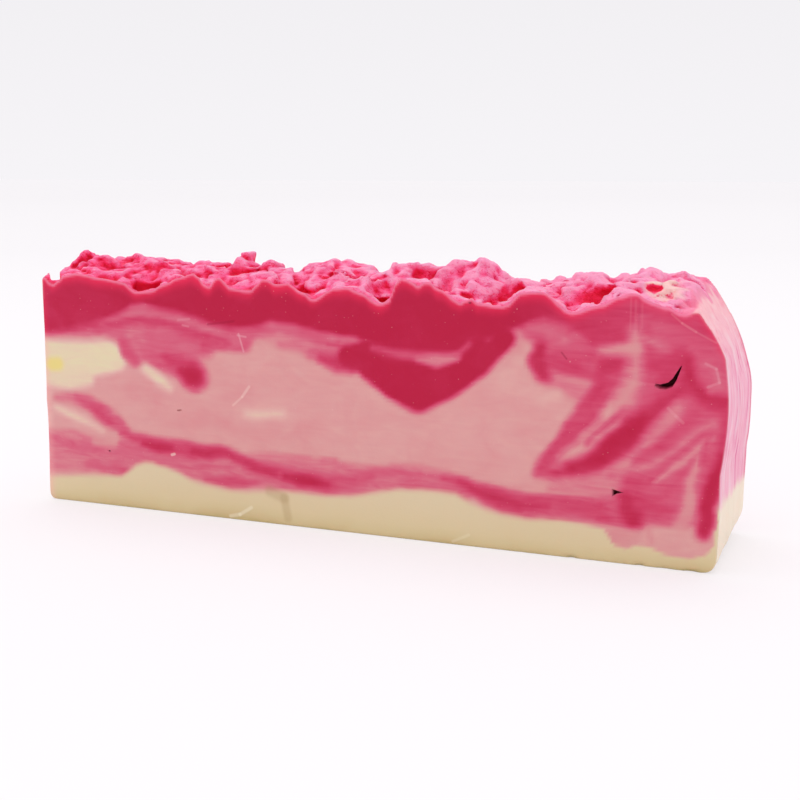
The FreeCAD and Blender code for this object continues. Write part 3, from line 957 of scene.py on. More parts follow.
    right_strokes: tuple = (
        # The mixed magenta pour of the right end, then what runs through it.
        Stroke(0.7, ((100, 84, 12), (118, 78, 16), (134, 66, 14)), 2.6),
        Stroke(0.7, ((99, 76, 12), (108, 66, 16), (117, 52, 18), (121, 36, 16), (113, 26, 14),
                     (104, 22, 10)), 2.4),
        Stroke(0.5, ((94, 27, 5.0), (84, 24.5, 3.4), (76, 23, 1.4)), 2.2),
        Stroke(0.36, ((62, 23.6, 0.8), (72, 24, 1.2)), 2.0, 0.8),
        Stroke(0.7, ((65, 78, 3.0), (78, 76, 6), (88, 72, 8), (96, 70, 8)), 2.4),
        Stroke(0.55, ((66, 79, 1.0), (73, 77, 1.6), (80, 75, 1.2)), 2.2, 0.8),
        Stroke(0.74, ((70, 68, 3.0), (80, 67, 4.2), (90, 66, 5)), 2.4),
        Stroke(0.52, ((75, 60.5, 2.6), (84, 58, 3.6), (90, 56, 3)), 3.0),
        Stroke(0.9, ((71, 72, 2.4), (70.5, 67, 3.6), (72, 62.5, 2.8)), 2.2),
        Stroke(0.84, ((76, 68, 1.8), (83, 66.6, 1.6)), 2.2, 0.8),
        Stroke(0.42, ((62.5, 75, 0.8), (62, 70.5, 1.8), (60, 66.5, 1.6)), 2.2),
        Stroke(0.87, ((86, 78.5, 2.0), (93, 77.4, 2.6), (99, 76.6, 2.0)), 2.0),
        Stroke(0.78, ((71, 31, 1.8), (75.5, 35, 2.8), (81, 42, 3.4), (86, 50, 3.6),
                      (91.5, 58, 3.8), (95, 65, 4.2)), 1.7),
        Stroke(0.87, ((88, 54, 1.0), (92, 60, 1.2)), 1.8, 0.7),
        Stroke(0.9, ((93, 66.4, 2.0), (97, 67.6, 2.2)), 2.2, 0.9),
        Stroke(0.36, ((91.5, 71.8, 0.6), (96, 72.2, 1.8), (102, 73, 2.4)), 2.4),
        Stroke(0.38, ((103, 79, 0.8), (103.5, 75, 2.2), (103.5, 69, 2.0), (102.5, 62, 2.6),
                      (100, 57, 3.0), (96.5, 53.4, 1.8)), 2.8, 0.95),
        Stroke(0.8, ((107, 80, 1.4), (107.5, 72, 1.4)), 1.8, 0.8),
        Stroke(0.52, ((106, 77, 0.8), (110.5, 75.2, 1.2), (114, 73, 0.6)), 1.8),
        Stroke(0.84, ((110, 68, 3), (117, 71, 3.5), (113, 64, 3)), 2.4, 0.9),
        Stroke(0.92, ((120.5, 70, 1.6), (122, 62, 2.4), (126, 58.5, 2.4), (134, 57, 3.0)), 2.2),
        Stroke(0.56, ((125.5, 69, 0.5), (129.5, 68, 0.7), (131, 63, 0.7), (127, 61, 0.5)), 1.4),
        Stroke(0.88, ((70.5, 28.8, 1.0), (77, 29.8, 2.4), (86, 32, 3.6), (94, 37.2, 4.6),
                      (101, 43.6, 5.0), (107, 50.4, 4.0), (114, 57, 2.8), (120, 61.5, 2.2)), 2.6),
        Stroke(0.97, ((82, 31.6, 0.8), (92, 36.2, 2.4), (100, 43.2, 3.2), (106, 50, 1.6)), 2.6),
        Stroke(0.5, ((78, 35.4, 0.5), (84, 40.4, 0.9), (88, 45, 1.0), (92, 50, 0.8)), 1.4),
        Stroke(0.72, ((87, 40, 0.8), (93, 46.5, 1.4), (99, 52, 1.0)), 1.4),
        Stroke(0.48, ((104.5, 39.4, 1.2), (110, 45, 2.4), (115, 50, 3.0), (118, 54.5, 2.0)), 2.4),
        Stroke(0.76, ((103, 35.6, 1.0), (112, 42, 1.6), (119, 48.6, 1.6), (124, 53, 1.4)), 1.6),
        Stroke(0.8, ((96, 29.5, 1.4), (104, 27.5, 2.4), (112, 31, 1.4)), 2.2, 0.9),
        Stroke(0.5, ((94, 31.4, 0.7), (103, 33.2, 1.0), (109, 34.8, 1.0), (116, 40, 0.9),
                     (123, 46.2, 1.2), (130, 50.4, 1.0)), 1.4),
        Stroke(0.48, ((92, 27.2, 1.0), (98, 28.6, 1.2)), 1.8),
        Stroke(0.72, ((107, 29.5, 0.8), (114, 35, 1.1), (121, 42, 1.1), (128, 47, 0.8)), 1.3),
        Stroke(0.42, ((111, 29, 0.5), (117, 34.8, 1.2), (123, 40.6, 1.3), (129, 45.4, 0.8)), 1.3),
        Stroke(0.74, ((110, 21, 0.9), (115, 26, 1.2), (120, 32.6, 1.0), (124.5, 38.5, 0.6)), 1.3),
        Stroke(0.4, ((124.6, 38, 1.2), (122.6, 30, 1.9), (122, 22, 2.4), (120, 16, 2.8)), 1.8),
        Stroke(0.9, ((101, 22.6, 2.4), (103.5, 19, 4.6), (103.5, 15.6, 3.0)), 2.2),
        Stroke(0.8, ((106, 21, 2.4), (112, 19.5, 2.6), (116.5, 20.5, 1.4)), 1.8),
        Stroke(0.36, ((98, 9.4, 2.6), (104, 9.8, 2.6)), 1.8),
        Stroke(0.3, ((110, 10.4, 3.4), (118, 11, 4), (126, 10, 3)), 1.8),
        Stroke(0.5, ((108.6, 12, 0.5), (110, 8.6, 0.4)), 1.4, 0.6),
        Stroke(0.84, ((134, 54, 2.0), (134, 46, 2.6), (132.5, 38, 2.8), (130.4, 30, 3.2),
                      (128.4, 23, 3.0), (127.2, 17, 3.0), (127, 13, 2.2)), 1.5),
        Stroke(0.96, ((132.5, 40, 0.9), (130, 29, 1.9), (128, 21, 1.9), (127.2, 15, 1.8)), 1.4),
        Stroke(0.74, ((125.6, 36, 0.5), (126.5, 42, 0.8), (129, 46.6, 0.6)), 1.2),
    )
    drop_strokes: tuple = (
        # The crimson drop that hangs from the top pour in the middle, and the lens in it.
        Stroke(0.62, ((-16, 65.5, 2.0), (-8, 66, 3.8), (0, 68.6, 3.4)), 2.0),
        Stroke(0.86, ((-12, 63.6, 1.6), (-5, 62, 3.0), (0, 61.4, 2.6)), 2.0),
        Stroke(0.98, ((-1, 65, 4.2), (6, 64.6, 6.4), (18, 62, 10), (28, 62.5, 10.5),
                      (38, 66, 8.5), (47, 69.5, 6)), 1.6),
        Stroke(1.0, ((8, 60.5, 3.8), (18, 56, 6.0), (26, 54, 7.4), (34, 57.5, 6.4),
                     (44, 62.5, 5.2), (54, 69.5, 4.2), (58, 74, 3.5)), 1.7),
        Stroke(0.74, ((9, 68, 0.8), (16, 67, 1.6), (25, 66.4, 1.8), (32, 66, 2.4),
                      (41, 67.8, 1.0)), 1.8),
        Stroke(0.46, ((27, 65.2, 0.8), (33.5, 65.2, 2.4), (40, 67, 1.2)), 1.8),
        Stroke(0.7, ((40, 68.4, 0.8), (46, 71.6, 0.9)), 1.6, 0.8),
        Stroke(0.84, ((-9, 69, 0.5), (-5, 69.4, 0.8)), 1.2, 0.8),
    )
    end_cream: tuple = (
        Stroke(0.27, ((56, 58, 4), (61, 64, 3.0), (62.5, 69, 1.6)), 3.0, 0.7),
        Stroke(0.2, ((71, 54, 1.4), (76.5, 56, 1.8)), 3.0, 0.8),
    )

    def drift(self, x: Array, y: Array, z: Array) -> tuple[Array, Array]:
        """Return where on the front face a place inside the bar takes its pour from."""
        depth = np.clip((y + 27.5) / 55.0, 0.0, 1.0)
        moved_x = x + depth * (13.0 * np.sin(x / 33.0 + 1.7) + 8.0 * np.sin(z / 17.0 + 0.6))
        moved_z = z + depth * (4.5 * np.sin(x / 21.0 + 2.1) + 2.2 * np.sin(x / 9.0 + z / 13.0))
        return moved_x, moved_z

    def fields(self, points: Array) -> tuple[Array, Array]:
        """Return the tone and the share of the bottom's cream pour at each place.

        Args:
            points: Places, one row of x, y, z each.

        Returns:
            The tone and the share, from 0 to 1.
        """
        sway = ValueNoise(41)
        x, z = self.drift(*points.T)
        y = points[:, 1]
        x = x + 0.9 * sway.at(x / 8.0, y / 14.0, z / 6.0) + 0.4 * sway.at(x / 3.0, y / 6.0, z / 2.2)
        z = z + 0.6 * sway.at(z / 7.0, x / 10.0, y / 14.0) + 0.25 * sway.at(z / 2.2, x / 4.0, y / 6.0)
        tone = np.full_like(x, self.plain)
        for strokes in (self.left_strokes, self.foot_strokes, self.right_strokes):
            tone = self._paint(strokes, x, z, tone)
        crimson = smoothstep(-2.4, 2.0, z - np.interp(x, *zip(*self.crimson_border)))
        tone += crimson * (np.interp(x, *zip(*self.crimson_tones)) - tone)
        tone = self._paint(self.drop_strokes, x, z, tone)
        tone = self._paint(self.end_cream, x, z, tone)
        crisp = smoothstep(60.0, 98.0, x)
        reach = 1.5 - 0.9 * crisp
        cream = smoothstep(-1.0, 1.0, (np.interp(x, *zip(*self.cream_border)) - z) / reach)
        return tone, cream

    @staticmethod
    def _paint(strokes: tuple, x: Array, z: Array, tone: Array) -> Array:
        """Lay strokes over the tone in their order."""
        for stroke in strokes:
            tone = tone + stroke.mask(x, z) * (stroke.tone - tone)
        return tone


class Shade:
    """Builds the nodes of one material and hands back their outputs."""

    def __init__(self, name: str) -> None:
        """Make the material and its shader."""
        self.material = bpy.data.materials.new(name)
        self.material.use_nodes = True
        self.tree = self.material.node_tree
        self.tree.nodes.clear()
        self.output = self.tree.nodes.new("ShaderNodeOutputMaterial")
        self.surface = self.tree.nodes.new("ShaderNodeBsdfPrincipled")
        self.tree.links.new(self.surface.outputs[0], self.output.inputs["Surface"])

    def feed(self, socket: bpy.types.NodeSocket, value: object) -> None:
        """Link an output to a socket, or set the socket to a plain value."""
        if isinstance(value, bpy.types.NodeSocket):
            self.tree.links.new(value, socket)
        else:
            socket.default_value = value

    def math(self, operation: str, first: object, second: object = 0.0,
             clamp: bool = False) -> bpy.types.NodeSocket:
        """Add a Math node and return its output."""
        node = self.tree.nodes.new("ShaderNodeMath")
        node.operation = operation
        node.use_clamp = clamp
        self.feed(node.inputs[0], first)
        self.feed(node.inputs[1], second)
        return node.outputs[0]

    def blend(self, share: object, first: object, second: object) -> bpy.types.NodeSocket:
        """Mix two colours by a share and return the result."""
        node = self.tree.nodes.new("ShaderNodeMix")
        node.data_type = "RGBA"
        self.feed(node.inputs["Factor"], share)
        self.feed(node.inputs["A"], first)
        self.feed(node.inputs["B"], second)
        return node.outputs["Result"]

    def span(self, value: object, low: float, high: float, start: float = 0.0,
             end: float = 1.0) -> bpy.types.NodeSocket:
        """Map a value smoothly from one range to another and return it."""
        node = self.tree.nodes.new("ShaderNodeMapRange")
        node.interpolation_type = "SMOOTHSTEP"
        self.feed(node.inputs["Value"], value)
        for name, number in (("From Min", low), ("From Max", high), ("To Min", start),
                             ("To Max", end)):
            node.inputs[name].default_value = number
        return node.outputs["Result"]

    def ramp(self, value: object, stops: tuple) -> bpy.types.NodeSocket:
        """Colour a value by (place, sRGB code) stops and return the colour."""
        node = self.tree.nodes.new("ShaderNodeValToRGB")
        self.feed(node.inputs[0], value)
        elements = node.color_ramp.elements
        while len(elements) < len(stops):
            elements.new(0.5)
        for element, (place, code) in zip(elements, stops):
            element.position = place
            element.color = srgb(code)
        return node.outputs["Color"]

    def attribute(self, name: str) -> bpy.types.NodeSocket:
        """Return a value stored on the mesh's points."""
        node = self.tree.nodes.new("ShaderNodeAttribute")
        node.attribute_name = name
        return node.outputs["Fac"]

    def place(self, scale: tuple[float, float, float]) -> bpy.types.NodeSocket:
        """Return object coordinates in millimetres, stretched along each axis."""
        coordinates = self.tree.nodes.new("ShaderNodeTexCoord")
        mapping = self.tree.nodes.new("ShaderNodeMapping")
        mapping.inputs["Scale"].default_value = [factor / MM for factor in scale]
        self.tree.links.new(coordinates.outputs["Object"], mapping.inputs["Vector"])
        return mapping.outputs["Vector"]

    def noise(self, scale: tuple[float, float, float], detail: float = 2.0,
              distortion: float = 0.0) -> bpy.types.NodeSocket:
        """Return noise from 0 to 1 that changes over 1 / scale millimetres."""
        node = self.tree.nodes.new("ShaderNodeTexNoise")
        self.feed(node.inputs["Vector"], self.place(scale))
        node.inputs["Scale"].default_value = 1.0
        node.inputs["Detail"].default_value = detail
        node.inputs["Distortion"].default_value = distortion
        return node.outputs["Fac"]

    def cells(self, scale: float) -> tuple[bpy.types.NodeSocket, bpy.types.NodeSocket]:
        """Return the distance to scattered points, in spacings, and a random colour for each."""
        node = self.tree.nodes.new("ShaderNodeTexVoronoi")
        self.feed(node.inputs["Vector"], self.place((scale, scale, scale)))
        node.inputs["Scale"].default_value = 1.0
        return node.outputs["Distance"], node.outputs["Color"]

    def bump(self, height: object, distance: float) -> bpy.types.NodeSocket:
        """Return a normal bent by a height in the given number of millimetres."""
        node = self.tree.nodes.new("ShaderNodeBump")
        node.inputs["Distance"].default_value = distance * MM
        self.feed(node.inputs["Height"], height)
        return node.outputs["Normal"]

    def axis(self, name: str) -> bpy.types.NodeSocket:
        """Return one coordinate on the bar in millimetres."""
        return self.part(self.place((1.0, 1.0, 1.0)), name)

    def part(self, vector: bpy.types.NodeSocket, name: str) -> bpy.types.NodeSocket:
        """Return the X, Y or Z part of a vector or colour."""
        node = self.tree.nodes.new("ShaderNodeSeparateXYZ")
        self.feed(node.inputs[0], vector)
        return node.outputs[name]


@dataclass(frozen=True)
class Mark:
    """A scratch, smear or stain on the front face, from one place to another in x and z."""

    colour: str
    start: tuple[float, float]
    end: tuple[float, float]
    width: float
    strength: float

    def cover(self, shade: Shade, place: bpy.types.NodeSocket) -> bpy.types.NodeSocket:
        """Return how much the mark covers each place.

        Args:
            shade: The material that is being built.
            place: Coordinates in millimetres, with y at zero.

        Returns:
            The share from 0 to the mark's strength.
        """
        way = Vector((self.end[0] - self.start[0], 0.0, self.end[1] - self.start[1]))
        offset = self._vector(shade, "SUBTRACT", place, (self.start[0], 0.0, self.start[1]))
        along = self._vector(shade, "DOT_PRODUCT", offset, tuple(way / way.length_squared))
        along = shade.math("ADD", along, 0.0, clamp=True)
        spot = self._vector(shade, "SCALE", tuple(way), along)
        away = self._vector(shade, "LENGTH", self._vector(shade, "SUBTRACT", offset, spot), None)
        return shade.span(away, 0.25 * self.width, self.width, self.strength, 0.0)

    @staticmethod
    def _vector(shade: Shade, operation: str, first: object, second: object
                ) -> bpy.types.NodeSocket:
        """Add a Vector Math node and return its result."""
        node = shade.tree.nodes.new("ShaderNodeVectorMath")
        node.operation = operation
        shade.feed(node.inputs[0], first)
        if operation == "SCALE":
            shade.feed(node.inputs["Scale"], second)
        elif second is not None:
            shade.feed(node.inputs[1], second)
        scalar = operation in ("DOT_PRODUCT", "LENGTH")
        return node.outputs["Value" if scalar else "Vector"]


@dataclass(frozen=True)
class SoapFinish:
    """Colours and sheen of the swirled soap."""

    roughness: float = 0.5
    specular: float = 0.12
    subsurface: float = 0.15
    torn_subsurface: float = 0.6
    # Colour of a pour by its tone, from cream over dusty pink and magenta to crimson.
    tones: tuple = (
        (0.0, "e4d7b3"), (0.07, "e5ceb4"), (0.18, "e3b6ae"), (0.29, "dea2a1"), (0.35, "dc989a"),
        (0.47, "db818f"), (0.59, "d86b84"), (0.71, "d65878"), (0.82, "d04167"), (0.94, "c2274e"),
        (1.0, "bc1e44"),
    )
    # Colour of the bottom's cream pour by height, as a share of 100 mm, darkest at the floor as
    # painted shade.
    base_tones_with_painted_shade: tuple = (
        (0.0, "ccb887"), (0.01, "d4bf93"), (0.03, "d9c89d"), (0.06, "ddcca5"),
        (0.12, "decdaa"), (0.2, "deceae"),
    )
    # Colour of the torn top by depth, pale where it stands out and deep red in hollows: painted
    # shade.
    torn_tones: tuple = (
        (0.0, "ff9ec2"), (0.2, "ff82ae"), (0.4, "ff6096"), (0.6, "fb3a70"), (0.8, "f22050"),
        (1.0, "e20c38"),
    )
    torn_peach: str = "fcccc8"
    # Painted glow: bright red just under a torn rim. Painted highlight: the pale line along the rim.
    painted_glow_red: str = "f0305a"
    painted_rim_highlight: str = "f487a8"
    # Painted shade deep inside the slit and the voids of the front face.
    pit_dark: str = "3a0510"
    # The moulded ends: their creases by noise, and what lies over them.
    skin_tones: tuple = ((0.28, "e0609a"), (0.38, "ec92b4"), (0.47, "f2aac3"),
                         (0.56, "f4b4c8"), (0.66, "f0a0b8"), (0.76, "e67c9e"))
    # Painted edge light for the lower left end of the front face.
    painted_edge_light: str = "f8b4b4"
    skin_veil: str = "f8dde4"
    skin_rear: str = "dd3a70"
    # Painted light: the upper part of the end walls is made paler.
    painted_top_light_skin: str = "f7bcbc"
    skin_foot: str = "f4e6d2"
    # Fine specks: how close together, how large in spacings, how strong.
    speck: str = "f0c0c6"
    specks: tuple = ((0.6, 0.3, 0.4), (0.16, 0.1, 0.5))
    marks: tuple = (
        Mark("f0cfc8", (-48.0, 44.0), (-44.0, 47.5), 0.6, 0.35),
        Mark("f0cfc8", (-44.0, 47.5), (-41.0, 51.5), 0.8, 0.42),
        Mark("e8a9b4", (-45.0, 71.0), (-43.0, 64.5), 0.6, 0.45),
        Mark("e8a9b4", (-45.5, 70.5), (-42.0, 70.0), 0.6, 0.35),
        Mark("f2ead0", (-50.0, 1.2), (-46.0, 2.2), 1.1, 0.45),
        Mark("f2ead0", (-46.0, 2.2), (-41.0, 5.4), 1.0, 0.5),
        Mark("f2ead0", (40.0, 1.2), (46.0, 4.2), 0.8, 0.25),
        Mark("e08a9c", (-71.0, 75.0), (-66.0, 75.6), 0.7, 0.5),
        Mark("e08a9c", (-69.0, 73.2), (-66.5, 72.8), 0.6, 0.5),
        Mark("9c1436", (-58.0, 74.0), (-47.0, 75.6), 0.7, 0.4),
        Mark("e9a6b0", (114.5, 54.2), (117.0, 51.8), 0.8, 0.22),
        Mark("e9a6b0", (117.0, 51.8), (119.4, 49.8), 0.8, 0.2),
        Mark("e9b0ba", (126.0, 69.5), (129.4, 68.0), 0.7, 0.22),
        Mark("e9b0ba", (129.4, 68.0), (130.6, 63.6), 0.7, 0.22),
        Mark("e9b0ba", (130.6, 63.6), (127.0, 62.0), 0.7, 0.22),
        Mark("e0899c", (101.2, 90.0), (101.2, 79.0), 0.5, 0.13),
        Mark("e0899c", (102.8, 89.0), (102.9, 76.0), 0.6, 0.12),
        Mark("a8304e", (104.0, 90.0), (104.0, 79.0), 0.4, 0.13),
        Mark("e0899c", (105.0, 88.0), (105.1, 80.0), 0.5, 0.1),
        Mark("f0a8b4", (114.5, 85.0), (118.0, 82.2), 0.5, 0.14),
        Mark("f0a8b4", (118.0, 82.2), (122.5, 79.6), 0.6, 0.22),
        Mark("f0a8b4", (122.5, 79.6), (129.0, 76.4), 0.5, 0.14),
        Mark("a88a5c", (-33.0, 12.5), (-27.0, 10.5), 3.2, 0.3),
        Mark("a88a5c", (-27.0, 10.5), (-25.5, 3.0), 2.6, 0.28),
        Mark("ead778", (-129.5, 55.0), (-127.0, 55.2), 4.4, 0.75),
        Mark("f2c9c4", (-75.4, 22.8), (-74.2, 23.2), 0.8, 0.7),
        Mark("8c3a34", (-72.2, 40.4), (-70.8, 40.6), 0.5, 0.6),
        Mark("8c1430", (78.3, 70.6), (80.0, 68.6), 0.5, 0.4),
        Mark("5a0a20", (45.4, 86.0), (45.8, 86.0), 0.5, 0.7),
    )

    def build(self) -> bpy.types.Material:
        """Build the soap's material.

        Returns:
            The material, which reads the values stored on the mesh's points.
        """
        shade = Shade("swirled_soap")
        colour = self._cut_colour(shade)
        colour = self._wall_colour(shade, colour)
        colour = self._torn_colour(shade, colour)
        # Painted shade deep inside the slit and the voids.
        colour = shade.blend(shade.attribute("pit"), colour, srgb(self.pit_dark))
        surface = shade.surface
        shade.feed(surface.inputs["Base Color"], colour)
        rough = shade.span(shade.noise((0.06, 0.06, 0.09)), 0.3, 0.7, self.roughness - 0.06,
                           self.roughness + 0.1)
        shade.feed(surface.inputs["Roughness"], rough)
        surface.inputs["Specular IOR Level"].default_value = self.specular
        soft = shade.span(shade.attribute("torn"), 0.0, 1.0, self.subsurface, self.torn_subsurface)
        shade.feed(surface.inputs["Subsurface Weight"], soft)
        surface.inputs["Subsurface Radius"].default_value = (2.2 * MM, 0.9 * MM, 0.8 * MM)
        surface.inputs["Subsurface Scale"].default_value = 1.0
        shade.feed(surface.inputs["Normal"], self._relief(shade))
        return shade.material

    def _streaked_tone(self, shade: Shade) -> bpy.types.NodeSocket:
        """Break the tone up with fine streaks, most where pours mix."""
        tone = shade.attribute("tone")
        rest = shade.math("SUBTRACT", 1.0, tone)
        mixing = shade.math("MULTIPLY", shade.span(tone, 0.34, 0.6, 0.12, 1.0), rest)
        streak = shade.noise((0.05, 0.1, 0.26), 3.0, 1.6)
        change = shade.math("MULTIPLY", shade.math("SUBTRACT", streak, 0.5), 0.9)
        change = shade.math("MULTIPLY", change, mixing)
        cloud = shade.noise((0.07, 0.07, 0.1), 3.0, 0.8)
        soft = shade.math("MULTIPLY", shade.math("SUBTRACT", cloud, 0.5), 0.14)
        return shade.math("ADD", shade.math("ADD", tone, change), soft, clamp=True)

    def _cut_colour(self, shade: Shade) -> bpy.types.NodeSocket:
        """Colour the cut faces: marbled pours, cream bottom, painted rim glow and painted edge light.
        """
        colour = shade.ramp(self._streaked_tone(shade), self.tones)
        # The cream bottom darkens in its lowest millimetres: painted shade along the lower edge.
        level = shade.math("DIVIDE", shade.axis("Z"), 100.0, clamp=True)
        cloud = shade.noise((0.03, 0.03, 0.06), 2.0, 0.5)
        cloud = shade.math("MULTIPLY", shade.math("SUBTRACT", cloud, 0.5), 0.06)
        base = shade.ramp(shade.math("ADD", level, cloud), self.base_tones_with_painted_shade)
        colour = shade.blend(shade.attribute("cream"), colour, base)
        # Painted glow: bright red just under the rim, as light shining through the thin edge.
        rim = shade.math("MULTIPLY", shade.attribute("glow"), 0.9)
        colour = shade.blend(rim, colour, srgb(self.painted_glow_red))
        # Painted light at the left end: its last few millimetres are lighter, pale low down, bright
        # red high up.
        edge = shade.span(shade.axis("X"), -134.0, -129.0, 0.42, 0.0)
        tint = shade.blend(shade.span(shade.axis("Z"), 63.0, 69.0), srgb(self.painted_edge_light),
                           srgb(self.painted_glow_red))
        colour = shade.blend(edge, colour, tint)
        return self._marks(shade, self._specks(shade, colour))

    def _marks(self, shade: Shade, colour: bpy.types.NodeSocket) -> bpy.types.NodeSocket:
        """Scratch, smear and stain the front face where the photograph shows it."""
        front = shade.span(shade.axis("Y"), -27.4, -26.6, 1.0, 0.0)
        place = shade.place((1.0, 0.0, 1.0))
        for mark in self.marks:
            share = shade.math("MULTIPLY", mark.cover(shade, place), front)
            colour = shade.blend(share, colour, srgb(mark.colour))
        return colour

    def _specks(self, shade: Shade, colour: bpy.types.NodeSocket) -> bpy.types.NodeSocket:
        """Scatter fine pale specks over a colour."""
        for scale, size, share in self.specks:
            distance, tint = shade.cells(scale)
            chosen = shade.span(shade.part(tint, "X"), 0.7, 1.0)
            reach = shade.math("MULTIPLY", shade.part(tint, "Y"), size)
            near = shade.math("SUBTRACT", 1.0, shade.math("DIVIDE", distance, reach), clamp=True)
            dot = shade.math("MULTIPLY", shade.math("MULTIPLY", near, share), chosen)
            colour = shade.blend(dot, colour, srgb(self.speck))
        return colour

    def _wall_colour(self, shade: Shade, colour: bpy.types.NodeSocket) -> bpy.types.NodeSocket:
        """Colour the moulded ends: pale pink skin with upright creases of white and magenta, paler
        high up as painted light.
        """
        veil = shade.noise((0.2, 0.16, 0.04), 3.0, 0.8)
        skin = shade.ramp(self._creases(shade), self.skin_tones)
        skin = shade.blend(shade.span(veil, 0.48, 0.7, 0.0, 0.6), skin, srgb(self.skin_veil))
        rear = shade.span(shade.axis("Y"), 21.0, 27.0, 0.0, 0.75)
        skin = shade.blend(rear, skin, srgb(self.skin_rear))
        # Painted light: paler towards the top of the wall.
        high = shade.span(shade.axis("Z"), 62.0, 92.0, 0.0, 0.7)
        skin = shade.blend(high, skin, srgb(self.painted_top_light_skin))
        sway = shade.math("MULTIPLY", shade.noise((0.1, 0.1, 0.1), 2.0), 8.0)
        level = shade.math("SUBTRACT", shade.axis("Z"), sway)
        skin = shade.blend(shade.span(level, 15.5, 21.0), srgb(self.skin_foot), skin)
        return shade.blend(shade.attribute("wall"), colour, skin)

    @staticmethod
    def _creases(shade: Shade) -> bpy.types.NodeSocket:
        """Return noise drawn out upright, as the creases of a paper lining."""
        return shade.noise((0.5, 0.42, 0.024), 4.0, 0.6)

    def _torn_colour(self, shade: Shade, colour: bpy.types.NodeSocket) -> bpy.types.NodeSocket:
        """Colour the torn top with painted light and shade: pale on what stands out and faces up,
        deep red in hollows and cracks.
        """
        # The recess paints shade: the deeper a place sits, the redder and darker it is coloured.
        recess = shade.attribute("recess")
        cloud = shade.noise((0.14, 0.14, 0.14), 4.0, 0.6)
        streak = shade.noise((0.35, 0.7, 0.7), 3.0, 1.5)
        change = shade.math("ADD", shade.math("MULTIPLY", shade.math("SUBTRACT", cloud, 0.5), 0.5),
                            shade.math("MULTIPLY", shade.math("SUBTRACT", streak, 0.5), 0.45))
        # Painted light: faces that point up are made paler, and faces that lean away are made redder.
        facing = shade.tree.nodes.new("ShaderNodeNewGeometry")
        lean = shade.math("SUBTRACT", 0.55, shade.part(facing.outputs["Normal"], "Z"))
        painted_upward_light = shade.math("MULTIPLY", lean, 0.35)
        change = shade.math("ADD", change, painted_upward_light)
        # Painted shade in the cracks: they take the deep red of the hollows.
        change = shade.math("ADD", change, shade.math("MULTIPLY", self._cracks(shade), 0.4))
        depth = shade.math("ADD", recess, change)
        torn = shade.ramp(depth, self.torn_tones)
        pale = shade.math("MULTIPLY", shade.attribute("peach"),
                          shade.span(depth, 0.2, 0.6, 1.0, 0.0))
        torn = shade.blend(pale, torn, srgb(self.torn_peach))
        share = shade.attribute("torn")
        colour = shade.blend(share, colour, torn)
        # Painted highlight: a pale line along the rim, where the torn top meets a cut face.
        line = shade.math("MULTIPLY", shade.math("MULTIPLY", share, 3.2),
                          shade.math("SUBTRACT", 1.0, share), clamp=True)
        return shade.blend(line, colour, srgb(self.painted_rim_highlight))

    @staticmethod
    def _cracks(shade: Shade) -> bpy.types.NodeSocket:
        """Return 1 in the fine cracks of the torn top and 0 beside them."""
        lines = shade.noise((0.2, 0.3, 0.3), 2.0, 2.2)
        gap = shade.math("ABSOLUTE", shade.math("SUBTRACT", lines, 0.5))
        return shade.span(gap, 0.0, 0.022, 1.0, 0.0)

    def _relief(self, shade: Shade) -> bpy.types.NodeSocket:
        """Return the fine relief: a faint grain when cut, crumbs and folds where torn."""
        grain = shade.noise((1.2, 1.2, 1.2), 3.0)
        knife = shade.noise((0.9, 0.9, 0.05), 2.0)
        cut = shade.math("ADD", shade.math("MULTIPLY", grain, 0.05),
                         shade.math("MULTIPLY", knife, 0.03))
        fold = shade.noise((0.8, 1.3, 1.3), 4.0, 1.0)
        crack = shade.math("MULTIPLY", self._cracks(shade), -0.15)
        torn = shade.math("ADD", shade.math("MULTIPLY", fold, 0.45), crack)
        torn = shade.math("MULTIPLY", torn, shade.attribute("torn"))
        wall = shade.math("MULTIPLY", shade.math("MULTIPLY", self._creases(shade), 0.5),
                          shade.attribute("wall"))
        height = shade.math("ADD", shade.math("ADD", cut, torn), wall)
        return shade.bump(height, 1.0)


